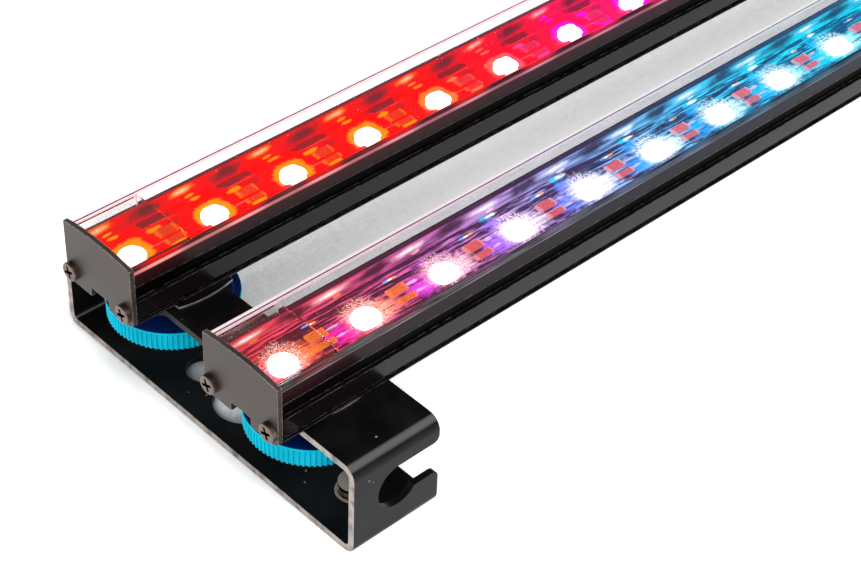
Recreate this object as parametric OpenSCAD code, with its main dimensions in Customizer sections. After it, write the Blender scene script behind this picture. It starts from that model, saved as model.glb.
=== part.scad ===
// Twin LED aquarium light: two clear-covered LED bars clamped side by side on a pair of bent
// sheet-metal brackets. Each bar is held by a fluted thumb wheel whose bolt pulls a T-nut down
// on the slot along the bar's underside. X runs along the bars, Y across them and Z is up.
// The origin is the centre of the footprint, at the height of the surface it stands on.

/* [Light bars] */
// Length of a bar over its end plates
bar_len = 580; // [400:10:1000]
// Width of a bar
bar_w = 30; // [30:1:34]
// Height of a bar at the middle of its crowned cover
bar_h = 21.2; // [21:0.1:24]
// Rise of the crown over the width of the bar
crown_rise = 1.2; // [0.8:0.1:1.6]
// Distance between the centre lines of the two bars
bar_pitch = 61; // [58:1:64]
// Thickness of an end plate
plate_t = 1.5; // [1:0.1:2]
// How far an end plate stands proud of the bar's sides
plate_lip = 0.7; // [0.2:0.1:1]
// Wall of the clear cover
cover_t = 1.3; // [1.1:0.1:1.4]
// Length of the clear stiffener inside each end of a cover
insert_len = 21; // [10:1:30]

/* [LED boards] */
// Number of LEDs on one bar
led_count = 20; // [8:1:34]
// Distance from one LED to the next
led_pitch = 28.9; // [18:0.1:29]
// Near plate to the first LED of the left and of the right bar
led_start = [11.4, 14.2]; // [10:0.1:20]
// Diameter of an LED's round body
led_d = 8; // [5:0.5:8]

/* [Brackets] */
// Width of the bracket strip along the bars
strip_w = 30; // [28:1:36]
// Length of the bracket across the bars
bracket_len = 126; // [124:1:132]
// Height of the bracket's top flange
bracket_h = 31; // [30:0.5:34]
// Thickness of the coated sheet
sheet_t = 2.2; // [1.5:0.1:2.5]
// Distance from a bar's end to the middle of its bracket
bracket_inset = 24.5; // [22:0.5:60]
// Height of the short upturned lip
lip_h = 20; // [12:1:24]
// Diameter of the hook hole in the upright wall
hook_d = 14; // [12:0.5:15]
// Diameter of the large hole in the middle of the base
centre_hole_d = 18.6; // [14:0.2:20]
// Diameter of the two smaller holes beside it
side_hole_d = 11.5; // [8:0.5:12]

/* [Thumb wheels] */
// Diameter over the ribs
wheel_d = 38.8; // [34:0.2:40]
// Thickness of the rim
wheel_t = 6.4; // [5:0.1:7]
// Number of ribs round the rim
rib_count = 80; // [40:2:100]
// Depth of the grooves between the ribs
groove_depth = 0.65; // [0.3:0.05:0.9]

/* [Hidden] */
$fn = 64;

SIDES = ["left", "right"];
ENDS = ["near", "far"];
BAR_PIECES = [
    "channel", "led_board", "leds", "board_parts", "clear_cover", "near_insert", "far_insert",
    "near_plate", "far_plate", "plate_screws", "inlet", "inlet_nut", "leads"
];
CLAMP_PIECES = ["pad", "t_nut", "washer", "thumb_wheel", "bolt"];
NODES = concat(
    [for (side = SIDES, piece = BAR_PIECES) str(side, "_", piece)],
    [for (end = ENDS, piece = ["bracket", "bushes"]) str(end, "_", piece)],
    [for (end = ENDS, side = SIDES, piece = CLAMP_PIECES) str(end, "_", side, "_", piece)]
);
node = "all";

// Gap between pieces that slide or turn on each other, and a cutter's overshoot
gap = 0.05;
over = 1;

// Where the bars lie: the pair sits 1 mm off the middle of the brackets
pair_shift = 1;
left_y = pair_shift + bar_pitch / 2;
right_y = pair_shift - bar_pitch / 2;
half_len = bar_len / 2;
half_w = bar_w / 2;
stud_x = half_len - bracket_inset;
pad_t = 0.75;
bar_z = bracket_h + pad_t + gap;
crown_r = (half_w * half_w + crown_rise * crown_rise) / (2 * crown_rise);

// Aluminium channel: heights above the bar's underside and distances from its centre line
slot_mouth = 8;
slot_w = 13;
slot_lip = 1.8;
slot_top = 5.6;
board_z = 7;
ledge_z = 13.3;
inner_lip_z = 14.5;
bar_side_y = half_w - plate_lip;
cover_half = bar_side_y - 0.1;
inner_lip_y = cover_half - cover_t;
inner_wall_y = inner_lip_y - 0.9;
block_z = 7.9;
rib_z = [[0, 0.5], [2.2, block_z], [12.8, ledge_z]];
foot_groove_y = bar_side_y - 1;
screw_y = 12;
screw_z = 4.3;
screw_r = 1.45;
screw_head_r = 2.9;
screw_head_t = 1.8;

// Boards, LEDs and small parts on them
board_w = 2 * inner_wall_y - 0.2;
board_t = 1.5;
board_top = board_z + board_t;
led_base_t = 1.6;
lens_r = 2.6;

// Clear cover and its inner stiffeners
cover_top = bar_h - 0.4;
insert_t = 1.2;

// Power inlet in the far end plate
inlet_z = 13.2;
inlet_r = 3.5;
inlet_flange_r = 5.2;
inlet_flange_t = 2;
inlet_depth = 10;
plug_r = 2.8;
plug_depth = 9;
pin_r = 1.05;
nut_r = 4.6;
nut_t = 2.2;
lead_r = 0.6;
lead_bend = 1.6;

// Bracket bends, openings and bushes
top_bend = 4.2;
base_bend = 3.5;
half_strip = strip_w / 2;
half_bracket = bracket_len / 2;
flange_end = left_y + half_w;
neck_near = -12.5;
neck_far = 6.5;
neck_ends = [right_y + 9.5, left_y - 11.5];
hook_x = 0.5;
hook_z = 16.3;
hook_slot = [12.3, 23.2];
side_hole_y = 18;
bush_y = 46.3;
bush_r = 6.25;
bush_t = 2.4;
bush_shank_r = 5.4;
bush_thread_r = 4.25;
bolt_r = 3;
bolt_hole_r = 3.3;

// Clamp pieces, from the flange down
washer_t = 1;
washer_r = 7;
hub_r = 8;
lip_overhang = 0.12;
hub_top = bracket_h - sheet_t - 2 * gap - washer_t;
wheel_top = 23.4;
wheel_bottom = wheel_top - wheel_t;
bolt_head_t = 4;
bolt_head_r = 5.77;
bolt_top = bar_z + slot_top - 0.6;
nut_len = 12;
nut_w = 12;
nut_neck = slot_mouth - 0.4;
pad_w = 19;
pad_len = 31.6;
pad_bow_r = 34;

function side_y(side) = side == "left" ? left_y : right_y;
function end_sign(end) = end == "near" ? -1 : 1;
function shown(name) = node == "all" || node == name;

// ---- placing ----

// Children drawn in a bar's own frame: x from the near plate, y from its centre line
module on_bar(side) {
    translate([-half_len, side_y(side), bar_z])
        children();
}

// Children drawn about the stud axis of a bracket end and a bar
module at_stud(end, side) {
    translate([end_sign(end) * stud_x, side_y(side), 0])
        children();
}

// A cross-section, given as (across, up), run along X from one place to another
module along_x(from, to) {
    translate([from, 0, 0])
        rotate([90, 0, 90])
            linear_extrude(to - from)
                children();
}

// ---- shared outlines ----

// Upright section with a crowned top and rounded shoulders
module crowned(half, base, top, shoulder) {
    centre_z = top - crown_r;
    shoulder_y = half - shoulder;
    shoulder_z = centre_z + sqrt(pow(crown_r - shoulder, 2) - pow(shoulder_y, 2));
    tangent_y = shoulder_y * crown_r / (crown_r - shoulder);
    intersection() {
        translate([0, centre_z])
            circle(crown_r, $fn = 256);
        translate([-tangent_y, base])
            square([2 * tangent_y, top - base + over]);
    }
    translate([-half, base])
        square([2 * half, shoulder_z - base]);
    for (s = [-1, 1])
        translate([s * shoulder_y, shoulder_z])
            circle(shoulder, $fn = 32);
}

// What is taken off a convex corner at the origin to round it, for a corner in the quadrant
// (+x, +y) whose arc centre is the origin
module corner_waste(r) {
    difference() {
        square(r + over);
        circle(r);
    }
}

// A rectangle from one corner to the other, with all four corners rounded
module rounded_slot(low, high, r) {
    translate([low[0] + r, low[1]])
        square([high[0] - low[0] - 2 * r, high[1] - low[1]]);
    translate([low[0], low[1] + r])
        square([high[0] - low[0], high[1] - low[1] - 2 * r]);
    for (x = [low[0] + r, high[0] - r], y = [low[1] + r, high[1] - r])
        translate([x, y])
            circle(r);
}

// ---- light bar ----

// Section of the extruded channel: ribbed sides, T-slot below, seat for the board above
module channel_section() {
    difference() {
        union() {
            translate([-foot_groove_y, 0])
                square([2 * foot_groove_y, block_z]);
            for (band = rib_z)
                translate([-bar_side_y, band[0]])
                    square([2 * bar_side_y, band[1] - band[0]]);
            translate([-inner_lip_y, board_z])
                square([2 * inner_lip_y, inner_lip_z - board_z]);
        }
        translate([-inner_wall_y, board_z])
            square([2 * inner_wall_y, inner_lip_z]);
        translate([-slot_mouth / 2, -over])
            square([slot_mouth, slot_lip + 2 * over]);
        translate([-slot_w / 2, slot_lip])
            square([slot_w, slot_top - slot_lip]);
        for (s = [-1, 1])
            translate([s * screw_y, screw_z])
                circle(screw_r + gap);
    }
}

module channel(side) {
    color([0.07, 0.06, 0.06])
        on_bar(side)
            along_x(plate_t, bar_len - plate_t)
                channel_section();
}

module led_board(side) {
    color([0.2, 0.2, 0.21])
        on_bar(side)
            translate([plate_t + 0.5, -board_w / 2, board_z])
                cube([bar_len - 2 * plate_t - 1, board_w, board_t]);
}

// High-power LED: low round body with a domed lens
module led() {
    cylinder(d = led_d, h = led_base_t, $fn = 32);
    intersection() {
        translate([0, 0, led_base_t])
            sphere(lens_r, $fn = 24);
        translate([0, 0, led_base_t - over / 2])
            cylinder(r = lens_r + over, h = lens_r + over, $fn = 24);
    }
}

module leds(side) {
    start = side == "left" ? led_start[0] : led_start[1];
    color(side == "left" ? [1, 0.35, 0.3] : [0.95, 0.95, 1])
        on_bar(side)
            for (i = [0 : led_count - 1])
                translate([start + i * led_pitch, 0, board_top])
                    led();
}

// A wide and a narrow series resistor in each space between two LEDs
module board_parts(side) {
    start = side == "left" ? led_start[0] : led_start[1];
    color([0.12, 0.1, 0.1])
        on_bar(side)
            for (i = [0 : led_count - 2])
                translate([start + (i + 0.5) * led_pitch - 3.2, 0, board_top]) {
                    translate([0, 2.2, 0])
                        cube([6.4, 3, 0.8]);
                    translate([0, -1.4, 0])
                        cube([6.4, 1.8, 0.8]);
                }
}

module clear_cover(side) {
    color([0.85, 0.9, 0.95, 0.35])
        on_bar(side)
            along_x(plate_t, bar_len - plate_t)
                difference() {
                    crowned(cover_half, ledge_z, cover_top, 1.2);
                    crowned(cover_half - cover_t, ledge_z - over, cover_top - cover_t, 0.6);
                }
}

// Upside-down U that stiffens one end of the cover
module insert(side, end) {
    half = cover_half - cover_t - 2 * gap;
    top = cover_top - cover_t - 2 * gap;
    from = end == "near" ? plate_t : bar_len - plate_t - insert_len;
    color([0.8, 0.88, 0.95, 0.35])
        on_bar(side)
            along_x(from, from + insert_len)
                difference() {
                    crowned(half, inner_lip_z + gap, top, 0.6);
                    crowned(half - insert_t, ledge_z, top - insert_t, 0.5);
                }
}

// Outline of an end plate with its slot notch and screw holes
module plate_section(end) {
    difference() {
        crowned(half_w, 0, bar_h, 2.8);
        for (s = [-1, 1]) {
            mirror([s < 0 ? 1 : 0, 0])
                translate([half_w - 2, 2])
                    mirror([0, 1])
                        corner_waste(2);
            translate([s * screw_y, screw_z])
                circle(screw_r + 0.15);
        }
        translate([-slot_mouth / 2, -over])
            square([slot_mouth, 3 + over]);
        if (end == "far")
            translate([0, inlet_z])
                circle(inlet_r + gap);
    }
}

module end_plate(side, end) {
    from = end == "near" ? 0 : bar_len - plate_t;
    color([0.42, 0.38, 0.36])
        on_bar(side)
            along_x(from, from + plate_t)
                plate_section(end);
}

// Pan-head screw with a cross recess, pointing along +X, its head on the plane x = 0
module pan_screw() {
    head_edge = 0.4;
    difference() {
        rotate([0, -90, 0]) {
            cylinder(r = screw_head_r, h = screw_head_t - head_edge);
            translate([0, 0, screw_head_t - head_edge])
                cylinder(r1 = screw_head_r, r2 = screw_head_r - head_edge, h = head_edge);
        }
        for (turn = [0, 90])
            rotate([turn - 20, 0, 0])
                translate([-screw_head_t - over, -1.9, -0.45])
                    cube([over + 1.1, 3.8, 0.9]);
    }
    rotate([0, 90, 0])
        cylinder(r = screw_r, h = 9);
}

module plate_screws(side) {
    color([0.3, 0.28, 0.27])
        on_bar(side)
            for (s = [-1, 1]) {
                translate([0, s * screw_y, screw_z])
                    pan_screw();
                translate([bar_len, s * screw_y, screw_z])
                    mirror([1, 0, 0])
                        pan_screw();
            }
}

// Panel socket for a round DC plug, its mouth facing +X
module inlet(side) {
    color([0.1, 0.1, 0.11])
        on_bar(side)
            translate([bar_len, 0, inlet_z])
                rotate([0, 90, 0]) {
                    difference() {
                        union() {
                            cylinder(r = inlet_flange_r, h = inlet_flange_t);
                            translate([0, 0, -inlet_depth])
                                cylinder(r = inlet_r, h = inlet_depth);
                        }
                        translate([0, 0, inlet_flange_t - plug_depth])
                            cylinder(r = plug_r, h = plug_depth + over);
                    }
                    translate([0, 0, inlet_flange_t - plug_depth - gap])
                        cylinder(r = pin_r, h = plug_depth - over);
                }
}

module inlet_nut(side) {
    color([0.7, 0.7, 0.72])
        on_bar(side)
            translate([bar_len - plate_t - nut_t, 0, inlet_z])
                rotate([0, 90, 0])
                    difference() {
                        cylinder(r = nut_r, h = nut_t, $fn = 6);
                        translate([0, 0, -over])
                            cylinder(r = inlet_r + gap, h = nut_t + 2 * over);
                    }
}

// Two short wires from the back of the socket down to the board
module leads(side) {
    color([0.75, 0.12, 0.1])
        on_bar(side)
            for (s = [-1, 1])
                translate([bar_len - inlet_depth, 1.6 * s, inlet_z - lead_bend]) {
                    rotate([90, 0, 180])
                        rotate_extrude(angle = 90)
                            translate([lead_bend, 0])
                                circle(lead_r, $fn = 24);
                    translate([-lead_bend, 0, board_top - inlet_z + lead_bend])
                        cylinder(r = lead_r, h = inlet_z - lead_bend - board_top, $fn = 24);
                }
}

// ---- bracket ----

// Quarter of a bent sheet, its arc centre at the origin, in the quadrant (+x, +y)
module bend(outer_r) {
    intersection() {
        difference() {
            circle(outer_r);
            circle(outer_r - sheet_t);
        }
        square(outer_r);
    }
}

// Bent strip seen along X: base, upright wall, cantilevered top flange and short lip
module strip_section() {
    translate([-half_bracket + base_bend, 0])
        square([bracket_len - 2 * base_bend, sheet_t]);
    translate([-half_bracket, base_bend])
        square([sheet_t, bracket_h - base_bend - top_bend]);
    translate([-half_bracket + top_bend, bracket_h - sheet_t])
        square([flange_end + half_bracket - top_bend, sheet_t]);
    translate([half_bracket - sheet_t, base_bend])
        square([sheet_t, lip_h - base_bend]);
    translate([-half_bracket + top_bend, bracket_h - top_bend])
        rotate(90)
            bend(top_bend);
    translate([-half_bracket + base_bend, base_bend])
        rotate(180)
            bend(base_bend);
    translate([half_bracket - base_bend, base_bend])
        rotate(270)
            bend(base_bend);
}

// Plan of what is cut from the top flange: the neck's two waists and the rounded free end
module flange_waste() {
    rounded_slot([neck_far, neck_ends[0]], [half_strip + 8, neck_ends[1]], 3);
    rounded_slot([-half_strip - 8, neck_ends[0]], [neck_near, neck_ends[1]], 2);
    for (s = [0, 1])
        mirror([s, 0])
            translate([half_strip - 5, flange_end - 5])
                corner_waste(5);
    for (y = [left_y, right_y])
        translate([0, y])
            circle(bolt_hole_r);
}

// Elevation of what is cut from the upright wall: the hook hole, its way out and two corners
module hook_waste() {
    translate([hook_x, hook_z])
        circle(hook_d / 2);
    translate([hook_x, hook_slot[0]])
        square([half_strip, hook_slot[1] - hook_slot[0]]);
    translate([half_strip - 2, hook_slot[0] - 2])
        corner_waste(2);
    translate([half_strip - 2, hook_slot[1] + 2])
        mirror([0, 1])
            corner_waste(2);
}

// Plan of the holes in the base
module base_holes() {
    circle(centre_hole_d / 2);
    for (s = [-1, 1]) {
        translate([0, s * side_hole_y])
            circle(side_hole_d / 2);
        translate([0, s * bush_y])
            circle(bush_shank_r);
    }
}

module bracket(end) {
    color([0.06, 0.055, 0.055])
        translate([end_sign(end) * stud_x, 0, 0])
            difference() {
                along_x(-half_strip, half_strip)
                    strip_section();
                translate([0, 0, bracket_h - sheet_t - over])
                    linear_extrude(sheet_t + 2 * over)
                        flange_waste();
                translate([0, -half_bracket + sheet_t + over, 0])
                    rotate([90, 0, 0])
                        linear_extrude(sheet_t + 2 * over)
                            hook_waste();
                for (s = [0, 1])
                    mirror([s, 0, 0])
                        translate([half_strip - 4, half_bracket + over, lip_h - 4])
                            rotate([90, 0, 0])
                                linear_extrude(sheet_t + 2 * over)
                                    corner_waste(4);
                translate([0, 0, -over])
                    linear_extrude(sheet_t + 2 * over)
                        base_holes();
            }
}

// Threaded bushes pressed into the base, one at each end of the strip
module bushes(end) {
    color([0.08, 0.075, 0.07])
        for (s = [-1, 1])
            translate([end_sign(end) * stud_x, s * bush_y, 0])
                difference() {
                    union() {
                        cylinder(r = bush_shank_r - gap, h = sheet_t + gap);
                        translate([0, 0, sheet_t])
                            cylinder(r = bush_r, h = bush_t);
                    }
                    translate([0, 0, -over])
                        cylinder(r = bush_thread_r, h = sheet_t + bush_t + 2 * over);
                }
}

// ---- clamps ----

// Thin pad with bowed ends between the flange and a bar
module pad(end, side) {
    shift = side == "left" ? -1 : 1.7;
    color([0.45, 0.4, 0.36])
        at_stud(end, side)
            translate([0, 0, bracket_h])
                linear_extrude(pad_t)
                    difference() {
                        translate([0, shift])
                            intersection() {
                                square([pad_w, pad_len], center = true);
                                for (s = [-1, 1])
                                    translate([0, s * (pad_bow_r - pad_len / 2)])
                                        circle(pad_bow_r, $fn = 128);
                            }
                        circle(bolt_hole_r);
                    }
}

// Nut that rides in the bar's slot, its neck between the slot's lips
module t_nut(end, side) {
    floor_z = bar_z + slot_lip + gap;
    color([0.6, 0.6, 0.62])
        at_stud(end, side)
            difference() {
                union() {
                    translate([-nut_len / 2, -nut_w / 2, floor_z])
                        cube([nut_len, nut_w, slot_top - slot_lip - 0.4]);
                    translate([-nut_len / 2, -nut_neck / 2, bar_z + 0.2])
                        cube([nut_len, nut_neck, slot_lip]);
                }
                translate([0, 0, bar_z])
                    cylinder(r = bolt_r + gap, h = slot_top);
            }
}

module washer(end, side) {
    color([0.85, 0.85, 0.83])
        at_stud(end, side)
            translate([0, 0, hub_top + gap])
                difference() {
                    cylinder(r = washer_r, h = washer_t);
                    translate([0, 0, -over])
                        cylinder(r = bolt_hole_r, h = washer_t + 2 * over);
                }
}

// Outline of the ribbed rim: four points for each rib and the groove after it
function rim_point(i) =
    let (
        rib = floor(i / 4),
        k = i - 4 * rib,
        turn = 360 / rib_count * (rib + [0.16, 0.44, 0.62, 0.98][k]),
        r = wheel_d / 2 - lip_overhang - (k < 2 ? 0 : groove_depth)
    )
    [r * cos(turn), r * sin(turn)];

// Thumb wheel: ribbed rim below a smooth lip, hub on top, hollowed underneath
module thumb_wheel(end, side) {
    lip_t = 0.9;
    bevel = 0.4;
    rim_r = wheel_d / 2;
    color([0.0, 0.72, 0.85])
        at_stud(end, side)
            difference() {
                union() {
                    translate([0, 0, wheel_bottom])
                        linear_extrude(wheel_t - lip_t)
                            polygon([for (i = [0 : 4 * rib_count - 1]) rim_point(i)]);
                    translate([0, 0, wheel_top - lip_t])
                        cylinder(r = rim_r, h = lip_t - bevel);
                    translate([0, 0, wheel_top - bevel])
                        cylinder(r1 = rim_r, r2 = rim_r - bevel, h = bevel);
                    translate([0, 0, wheel_top])
                        cylinder(r = hub_r, h = hub_top - wheel_top);
                }
                translate([0, 0, wheel_top - 0.5])
                    difference() {
                        cylinder(r = rim_r - 2, h = over);
                        cylinder(r = hub_r, h = over);
                    }
                translate([0, 0, wheel_bottom - over])
                    difference() {
                        cylinder(r = rim_r - 2.5, h = over + 2);
                        cylinder(r = hub_r, h = over + 2);
                    }
                translate([0, 0, wheel_bottom - over])
                    cylinder(r = bolt_head_r + gap, h = bolt_head_t + over + gap, $fn = 6);
                cylinder(r = bolt_r + gap, h = bracket_h);
            }
}

// Hexagon bolt set in the wheel, its head flush with the underside
module bolt(end, side) {
    color([0.65, 0.65, 0.67])
        at_stud(end, side) {
            translate([0, 0, wheel_bottom])
                cylinder(r = bolt_head_r, h = bolt_head_t, $fn = 6);
            translate([0, 0, wheel_bottom])
                cylinder(r = bolt_r, h = bolt_top - wheel_bottom);
        }
}

// ---- assembly ----

for (side = SIDES) {
    if (shown(str(side, "_channel"))) channel(side);
    if (shown(str(side, "_led_board"))) led_board(side);
    if (shown(str(side, "_leds"))) leds(side);
    if (shown(str(side, "_board_parts"))) board_parts(side);
    if (shown(str(side, "_clear_cover"))) clear_cover(side);
    if (shown(str(side, "_near_insert"))) insert(side, "near");
    if (shown(str(side, "_far_insert"))) insert(side, "far");
    if (shown(str(side, "_near_plate"))) end_plate(side, "near");
    if (shown(str(side, "_far_plate"))) end_plate(side, "far");
    if (shown(str(side, "_plate_screws"))) plate_screws(side);
    if (shown(str(side, "_inlet"))) inlet(side);
    if (shown(str(side, "_inlet_nut"))) inlet_nut(side);
    if (shown(str(side, "_leads"))) leads(side);
}
for (end = ENDS) {
    if (shown(str(end, "_bracket"))) bracket(end);
    if (shown(str(end, "_bushes"))) bushes(end);
    for (side = SIDES) {
        if (shown(str(end, "_", side, "_pad"))) pad(end, side);
        if (shown(str(end, "_", side, "_t_nut"))) t_nut(end, side);
        if (shown(str(end, "_", side, "_washer"))) washer(end, side);
        if (shown(str(end, "_", side, "_thumb_wheel"))) thumb_wheel(end, side);
        if (shown(str(end, "_", side, "_bolt"))) bolt(end, side);
    }
}
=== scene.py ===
"""Twin LED aquarium light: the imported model, dressed piece by piece, on a pale table.

Every size is in metres, in the model's own frame: X along the light bars, Y across them and Z up.
"""

from __future__ import annotations

import logging
import math
from contextlib import contextmanager
from dataclasses import dataclass, replace
from enum import Enum
from typing import Callable, ClassVar, Iterator, Sequence, Union

import bmesh
import bpy
from mathutils import Matrix, Vector

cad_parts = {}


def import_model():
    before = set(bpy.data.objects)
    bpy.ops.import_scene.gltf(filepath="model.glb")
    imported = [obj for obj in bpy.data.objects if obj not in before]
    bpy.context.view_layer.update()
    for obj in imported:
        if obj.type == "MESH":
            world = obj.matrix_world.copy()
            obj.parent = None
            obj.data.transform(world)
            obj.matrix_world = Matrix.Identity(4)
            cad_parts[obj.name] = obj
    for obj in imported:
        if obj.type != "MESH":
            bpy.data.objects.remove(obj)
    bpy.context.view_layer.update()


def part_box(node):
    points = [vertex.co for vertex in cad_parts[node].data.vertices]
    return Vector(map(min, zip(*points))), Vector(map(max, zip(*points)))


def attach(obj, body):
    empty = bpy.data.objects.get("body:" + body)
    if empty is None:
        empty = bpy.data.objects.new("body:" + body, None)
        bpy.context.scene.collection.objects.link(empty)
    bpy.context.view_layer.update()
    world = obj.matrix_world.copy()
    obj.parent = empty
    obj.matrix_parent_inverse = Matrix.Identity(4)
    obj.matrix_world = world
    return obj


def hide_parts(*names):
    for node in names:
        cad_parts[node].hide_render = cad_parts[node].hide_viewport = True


log = logging.getLogger("aquarium_light")

MM = 0.001
OVER = 1 * MM
Piece = bpy.types.Object
Node = bpy.types.Node
Socket = bpy.types.NodeSocket
Sockets = bpy.types.bpy_prop_collection
Pair = tuple[float, float]
Colour = tuple[float, float, float]
Stops = tuple[tuple[float, Colour], ...]
Value = Union[Socket, float, Sequence[float]]
Test = Callable[[Vector, Vector], bool]


class Side(Enum):
    """The two light bars, as seen from their near ends."""

    LEFT = "left"
    RIGHT = "right"


class End(Enum):
    """The two ends of the bars, each with a bracket."""

    NEAR = "near"
    FAR = "far"


class Way(Enum):
    """The axis that a round piece is turned about."""

    X = (0.0, math.pi / 2, 0.0)
    Y = (-math.pi / 2, 0.0, 0.0)
    Z = (0.0, 0.0, 0.0)


# ---------------------------------------------------------------- modelling


def pick(*pieces: Piece) -> None:
    """Selects these pieces alone and makes the last one active.

    Args:
        pieces: The pieces, the active one last.
    """
    bpy.ops.object.select_all(action="DESELECT")
    for piece in pieces:
        piece.select_set(True)
    bpy.context.view_layer.objects.active = pieces[-1]


def added(name: str) -> Piece:
    """Names the piece just added and moves its place into its mesh.

    Args:
        name: The piece's name.

    Returns:
        The piece, standing unturned at the origin.
    """
    piece = bpy.context.object
    piece.name = name
    bpy.ops.object.transform_apply(location=True, rotation=True, scale=True)
    return piece


def box(name: str, first: Sequence[float], second: Sequence[float]) -> Piece:
    """Adds a block from one of its corners to the opposite one.

    Args:
        name: The piece's name.
        first: One corner.
        second: The corner opposite it.

    Returns:
        The block, with its place in its mesh.
    """
    low, high = (Vector(map(end, first, second)) for end in (min, max))
    bpy.ops.mesh.primitive_cube_add(size=1, location=(low + high) / 2, scale=high - low)
    return added(name)


def rod(
    name: str, radius: float, foot: Sequence[float], length: float, way: Way = Way.Z, sides: int = 64
) -> Piece:
    """Adds a round bar.

    Args:
        name: The piece's name.
        radius: Its radius, to its corners.
        foot: The middle of its lower end.
        length: How far it reaches from there along its axis.
        way: The axis that it lies along.
        sides: How many faces go round it.

    Returns:
        The bar, with its place in its mesh.
    """
    middle = Vector(foot) + Vector([float(axis is way) for axis in Way]) * length / 2
    bpy.ops.mesh.primitive_cylinder_add(
        vertices=sides, radius=radius, depth=length, location=middle, rotation=way.value
    )
    return added(name)


def apply_modifier(piece: Piece, kind: str, **settings: object) -> None:
    """Puts a modifier of this kind on a piece, with its settings, and applies it.

    Args:
        piece: The piece to change.
        kind: The modifier's type.
        settings: The modifier's own settings.
    """
    pick(piece)
    modifier = piece.modifiers.new(kind.lower(), kind)
    for name, value in settings.items():
        setattr(modifier, name, value)
    bpy.ops.object.modifier_apply(modifier=modifier.name)


def cut(body: Piece, *wastes: Piece, keep: bool = False) -> None:
    """Cuts solids out of a body, or with keep leaves only what they share with it.

    Args:
        body: The piece to cut.
        wastes: The solids to take out, which are used up.
        keep: True to keep the shared part instead.
    """
    operation = "INTERSECT" if keep else "DIFFERENCE"
    for waste in wastes:
        apply_modifier(body, "BOOLEAN", operation=operation, object=waste, solver="EXACT")
        bpy.data.objects.remove(waste)


def drill(body: Piece, radius: float, foot: Sequence[float], *shape: float | Way) -> None:
    """Cuts a round hole, whose length, way and sides are given as for a rod."""
    cut(body, rod("hole", radius, foot, *shape))


def join(name: str, *pieces: Piece) -> Piece:
    """Joins pieces into one under a new name.

    Args:
        name: The whole's name.
        pieces: The pieces, which are used up.

    Returns:
        The whole.
    """
    pick(*pieces)
    if len(pieces) > 1:
        bpy.ops.object.join()
    whole = bpy.context.object
    whole.name = name
    return whole


def copy_to(piece: Piece, place: Sequence[float], turn: float = 0.0) -> Piece:
    """Copies a piece, mesh and all, turns the copy's mesh about Z and moves it to a place.

    Args:
        piece: The piece to copy.
        place: Where the copy goes.
        turn: How far it is turned.

    Returns:
        The copy.
    """
    pick(piece)
    bpy.ops.object.duplicate(linked=False)
    twin = bpy.context.object
    twin.data.transform(Matrix.Translation(place) @ Matrix.Rotation(turn, 4, "Z"))
    return twin


def row(name: str, first: Piece, count: int, pitch: float) -> Piece:
    """Repeats a piece along X and joins the whole row."""
    return join(name, first, *(copy_to(first, (i * pitch, 0, 0)) for i in range(1, count)))


@contextmanager
def editing(piece: Piece, mode: str = "FACE") -> Iterator[bmesh.types.BMesh]:
    """Opens a piece in edit mode with nothing selected.

    Args:
        piece: The piece to edit.
        mode: The kind of element that is selected: VERT, EDGE or FACE.

    Yields:
        The mesh being edited.
    """
    pick(piece)
    bpy.ops.object.mode_set(mode="EDIT")
    bpy.ops.mesh.select_mode(type=mode)
    bpy.ops.mesh.select_all(action="DESELECT")
    try:
        yield bmesh.from_edit_mesh(piece.data)
    finally:
        bpy.ops.object.mode_set(mode="OBJECT")


@contextmanager
def chosen_faces(piece: Piece, test: Test) -> Iterator[None]:
    """Opens a piece in edit mode with the faces selected whose middle and normal pass the test.

    Args:
        piece: The piece to edit.
        test: Takes a face's middle and normal.

    Yields:
        Nothing; the faces stay selected meanwhile.
    """
    with editing(piece) as mesh:
        for face in mesh.faces:
            face.select_set(test(face.calc_center_median(), face.normal))
        bmesh.update_edit_mesh(piece.data)
        yield


@contextmanager
def chosen_edges(piece: Piece, test: Test) -> Iterator[None]:
    """Opens a piece in edit mode with the edges selected whose middle and direction pass the test.

    Args:
        piece: The piece to edit.
        test: Takes an edge's middle and direction.

    Yields:
        Nothing; the edges stay selected meanwhile.
    """
    with editing(piece, "EDGE") as mesh:
        for edge in mesh.edges:
            first, second = (vertex.co for vertex in edge.verts)
            span = second - first
            if span.length > 0:
                edge.select_set(test((first + second) / 2, span.normalized()))
        bmesh.update_edit_mesh(piece.data)
        yield


def sink(piece: Piece, test: Test, *steps: Pair) -> None:
    """Insets the faces that pass the test, step by step, each by a thickness and a depth.

    Args:
        piece: The piece to change.
        test: Takes a face's middle and normal.
        steps: The thickness and depth of each inset.
    """
    with chosen_faces(piece, test):
        for thickness, depth in steps:
            bpy.ops.mesh.inset(thickness=thickness, depth=depth)


def divide(piece: Piece, place: Sequence[float], normal: Sequence[float], drop: bool = False) -> None:
    """Cuts a piece along a plane, and with drop takes away the part behind it and closes the cut.

    Args:
        piece: The piece to cut.
        place: A place on the plane.
        normal: The plane's normal.
        drop: True to take away the part behind it.
    """
    with editing(piece):
        bpy.ops.mesh.select_all(action="SELECT")
        bpy.ops.mesh.bisect(plane_co=place, plane_no=normal, clear_inner=drop, use_fill=drop)


def round_edges(piece: Piece, radius: float, test: Test, segments: int = 6) -> None:
    """Rounds the edges that pass the test, with this many faces round each."""
    with chosen_edges(piece, test):
        bpy.ops.mesh.bevel(offset=radius, segments=segments, affect="EDGES")


def soften(piece: Piece, width: float) -> None:
    """Breaks the sharp edges of a piece by a small width and shades it smooth.

    Args:
        piece: The piece to change.
        width: The width of the broken edge.
    """
    limit = {"limit_method": "ANGLE", "angle_limit": math.radians(35)}
    apply_modifier(piece, "BEVEL", width=width, segments=2, harden_normals=False, **limit)
    shade(piece)
    apply_modifier(piece, "WEIGHTED_NORMAL", keep_sharp=True)


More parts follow.
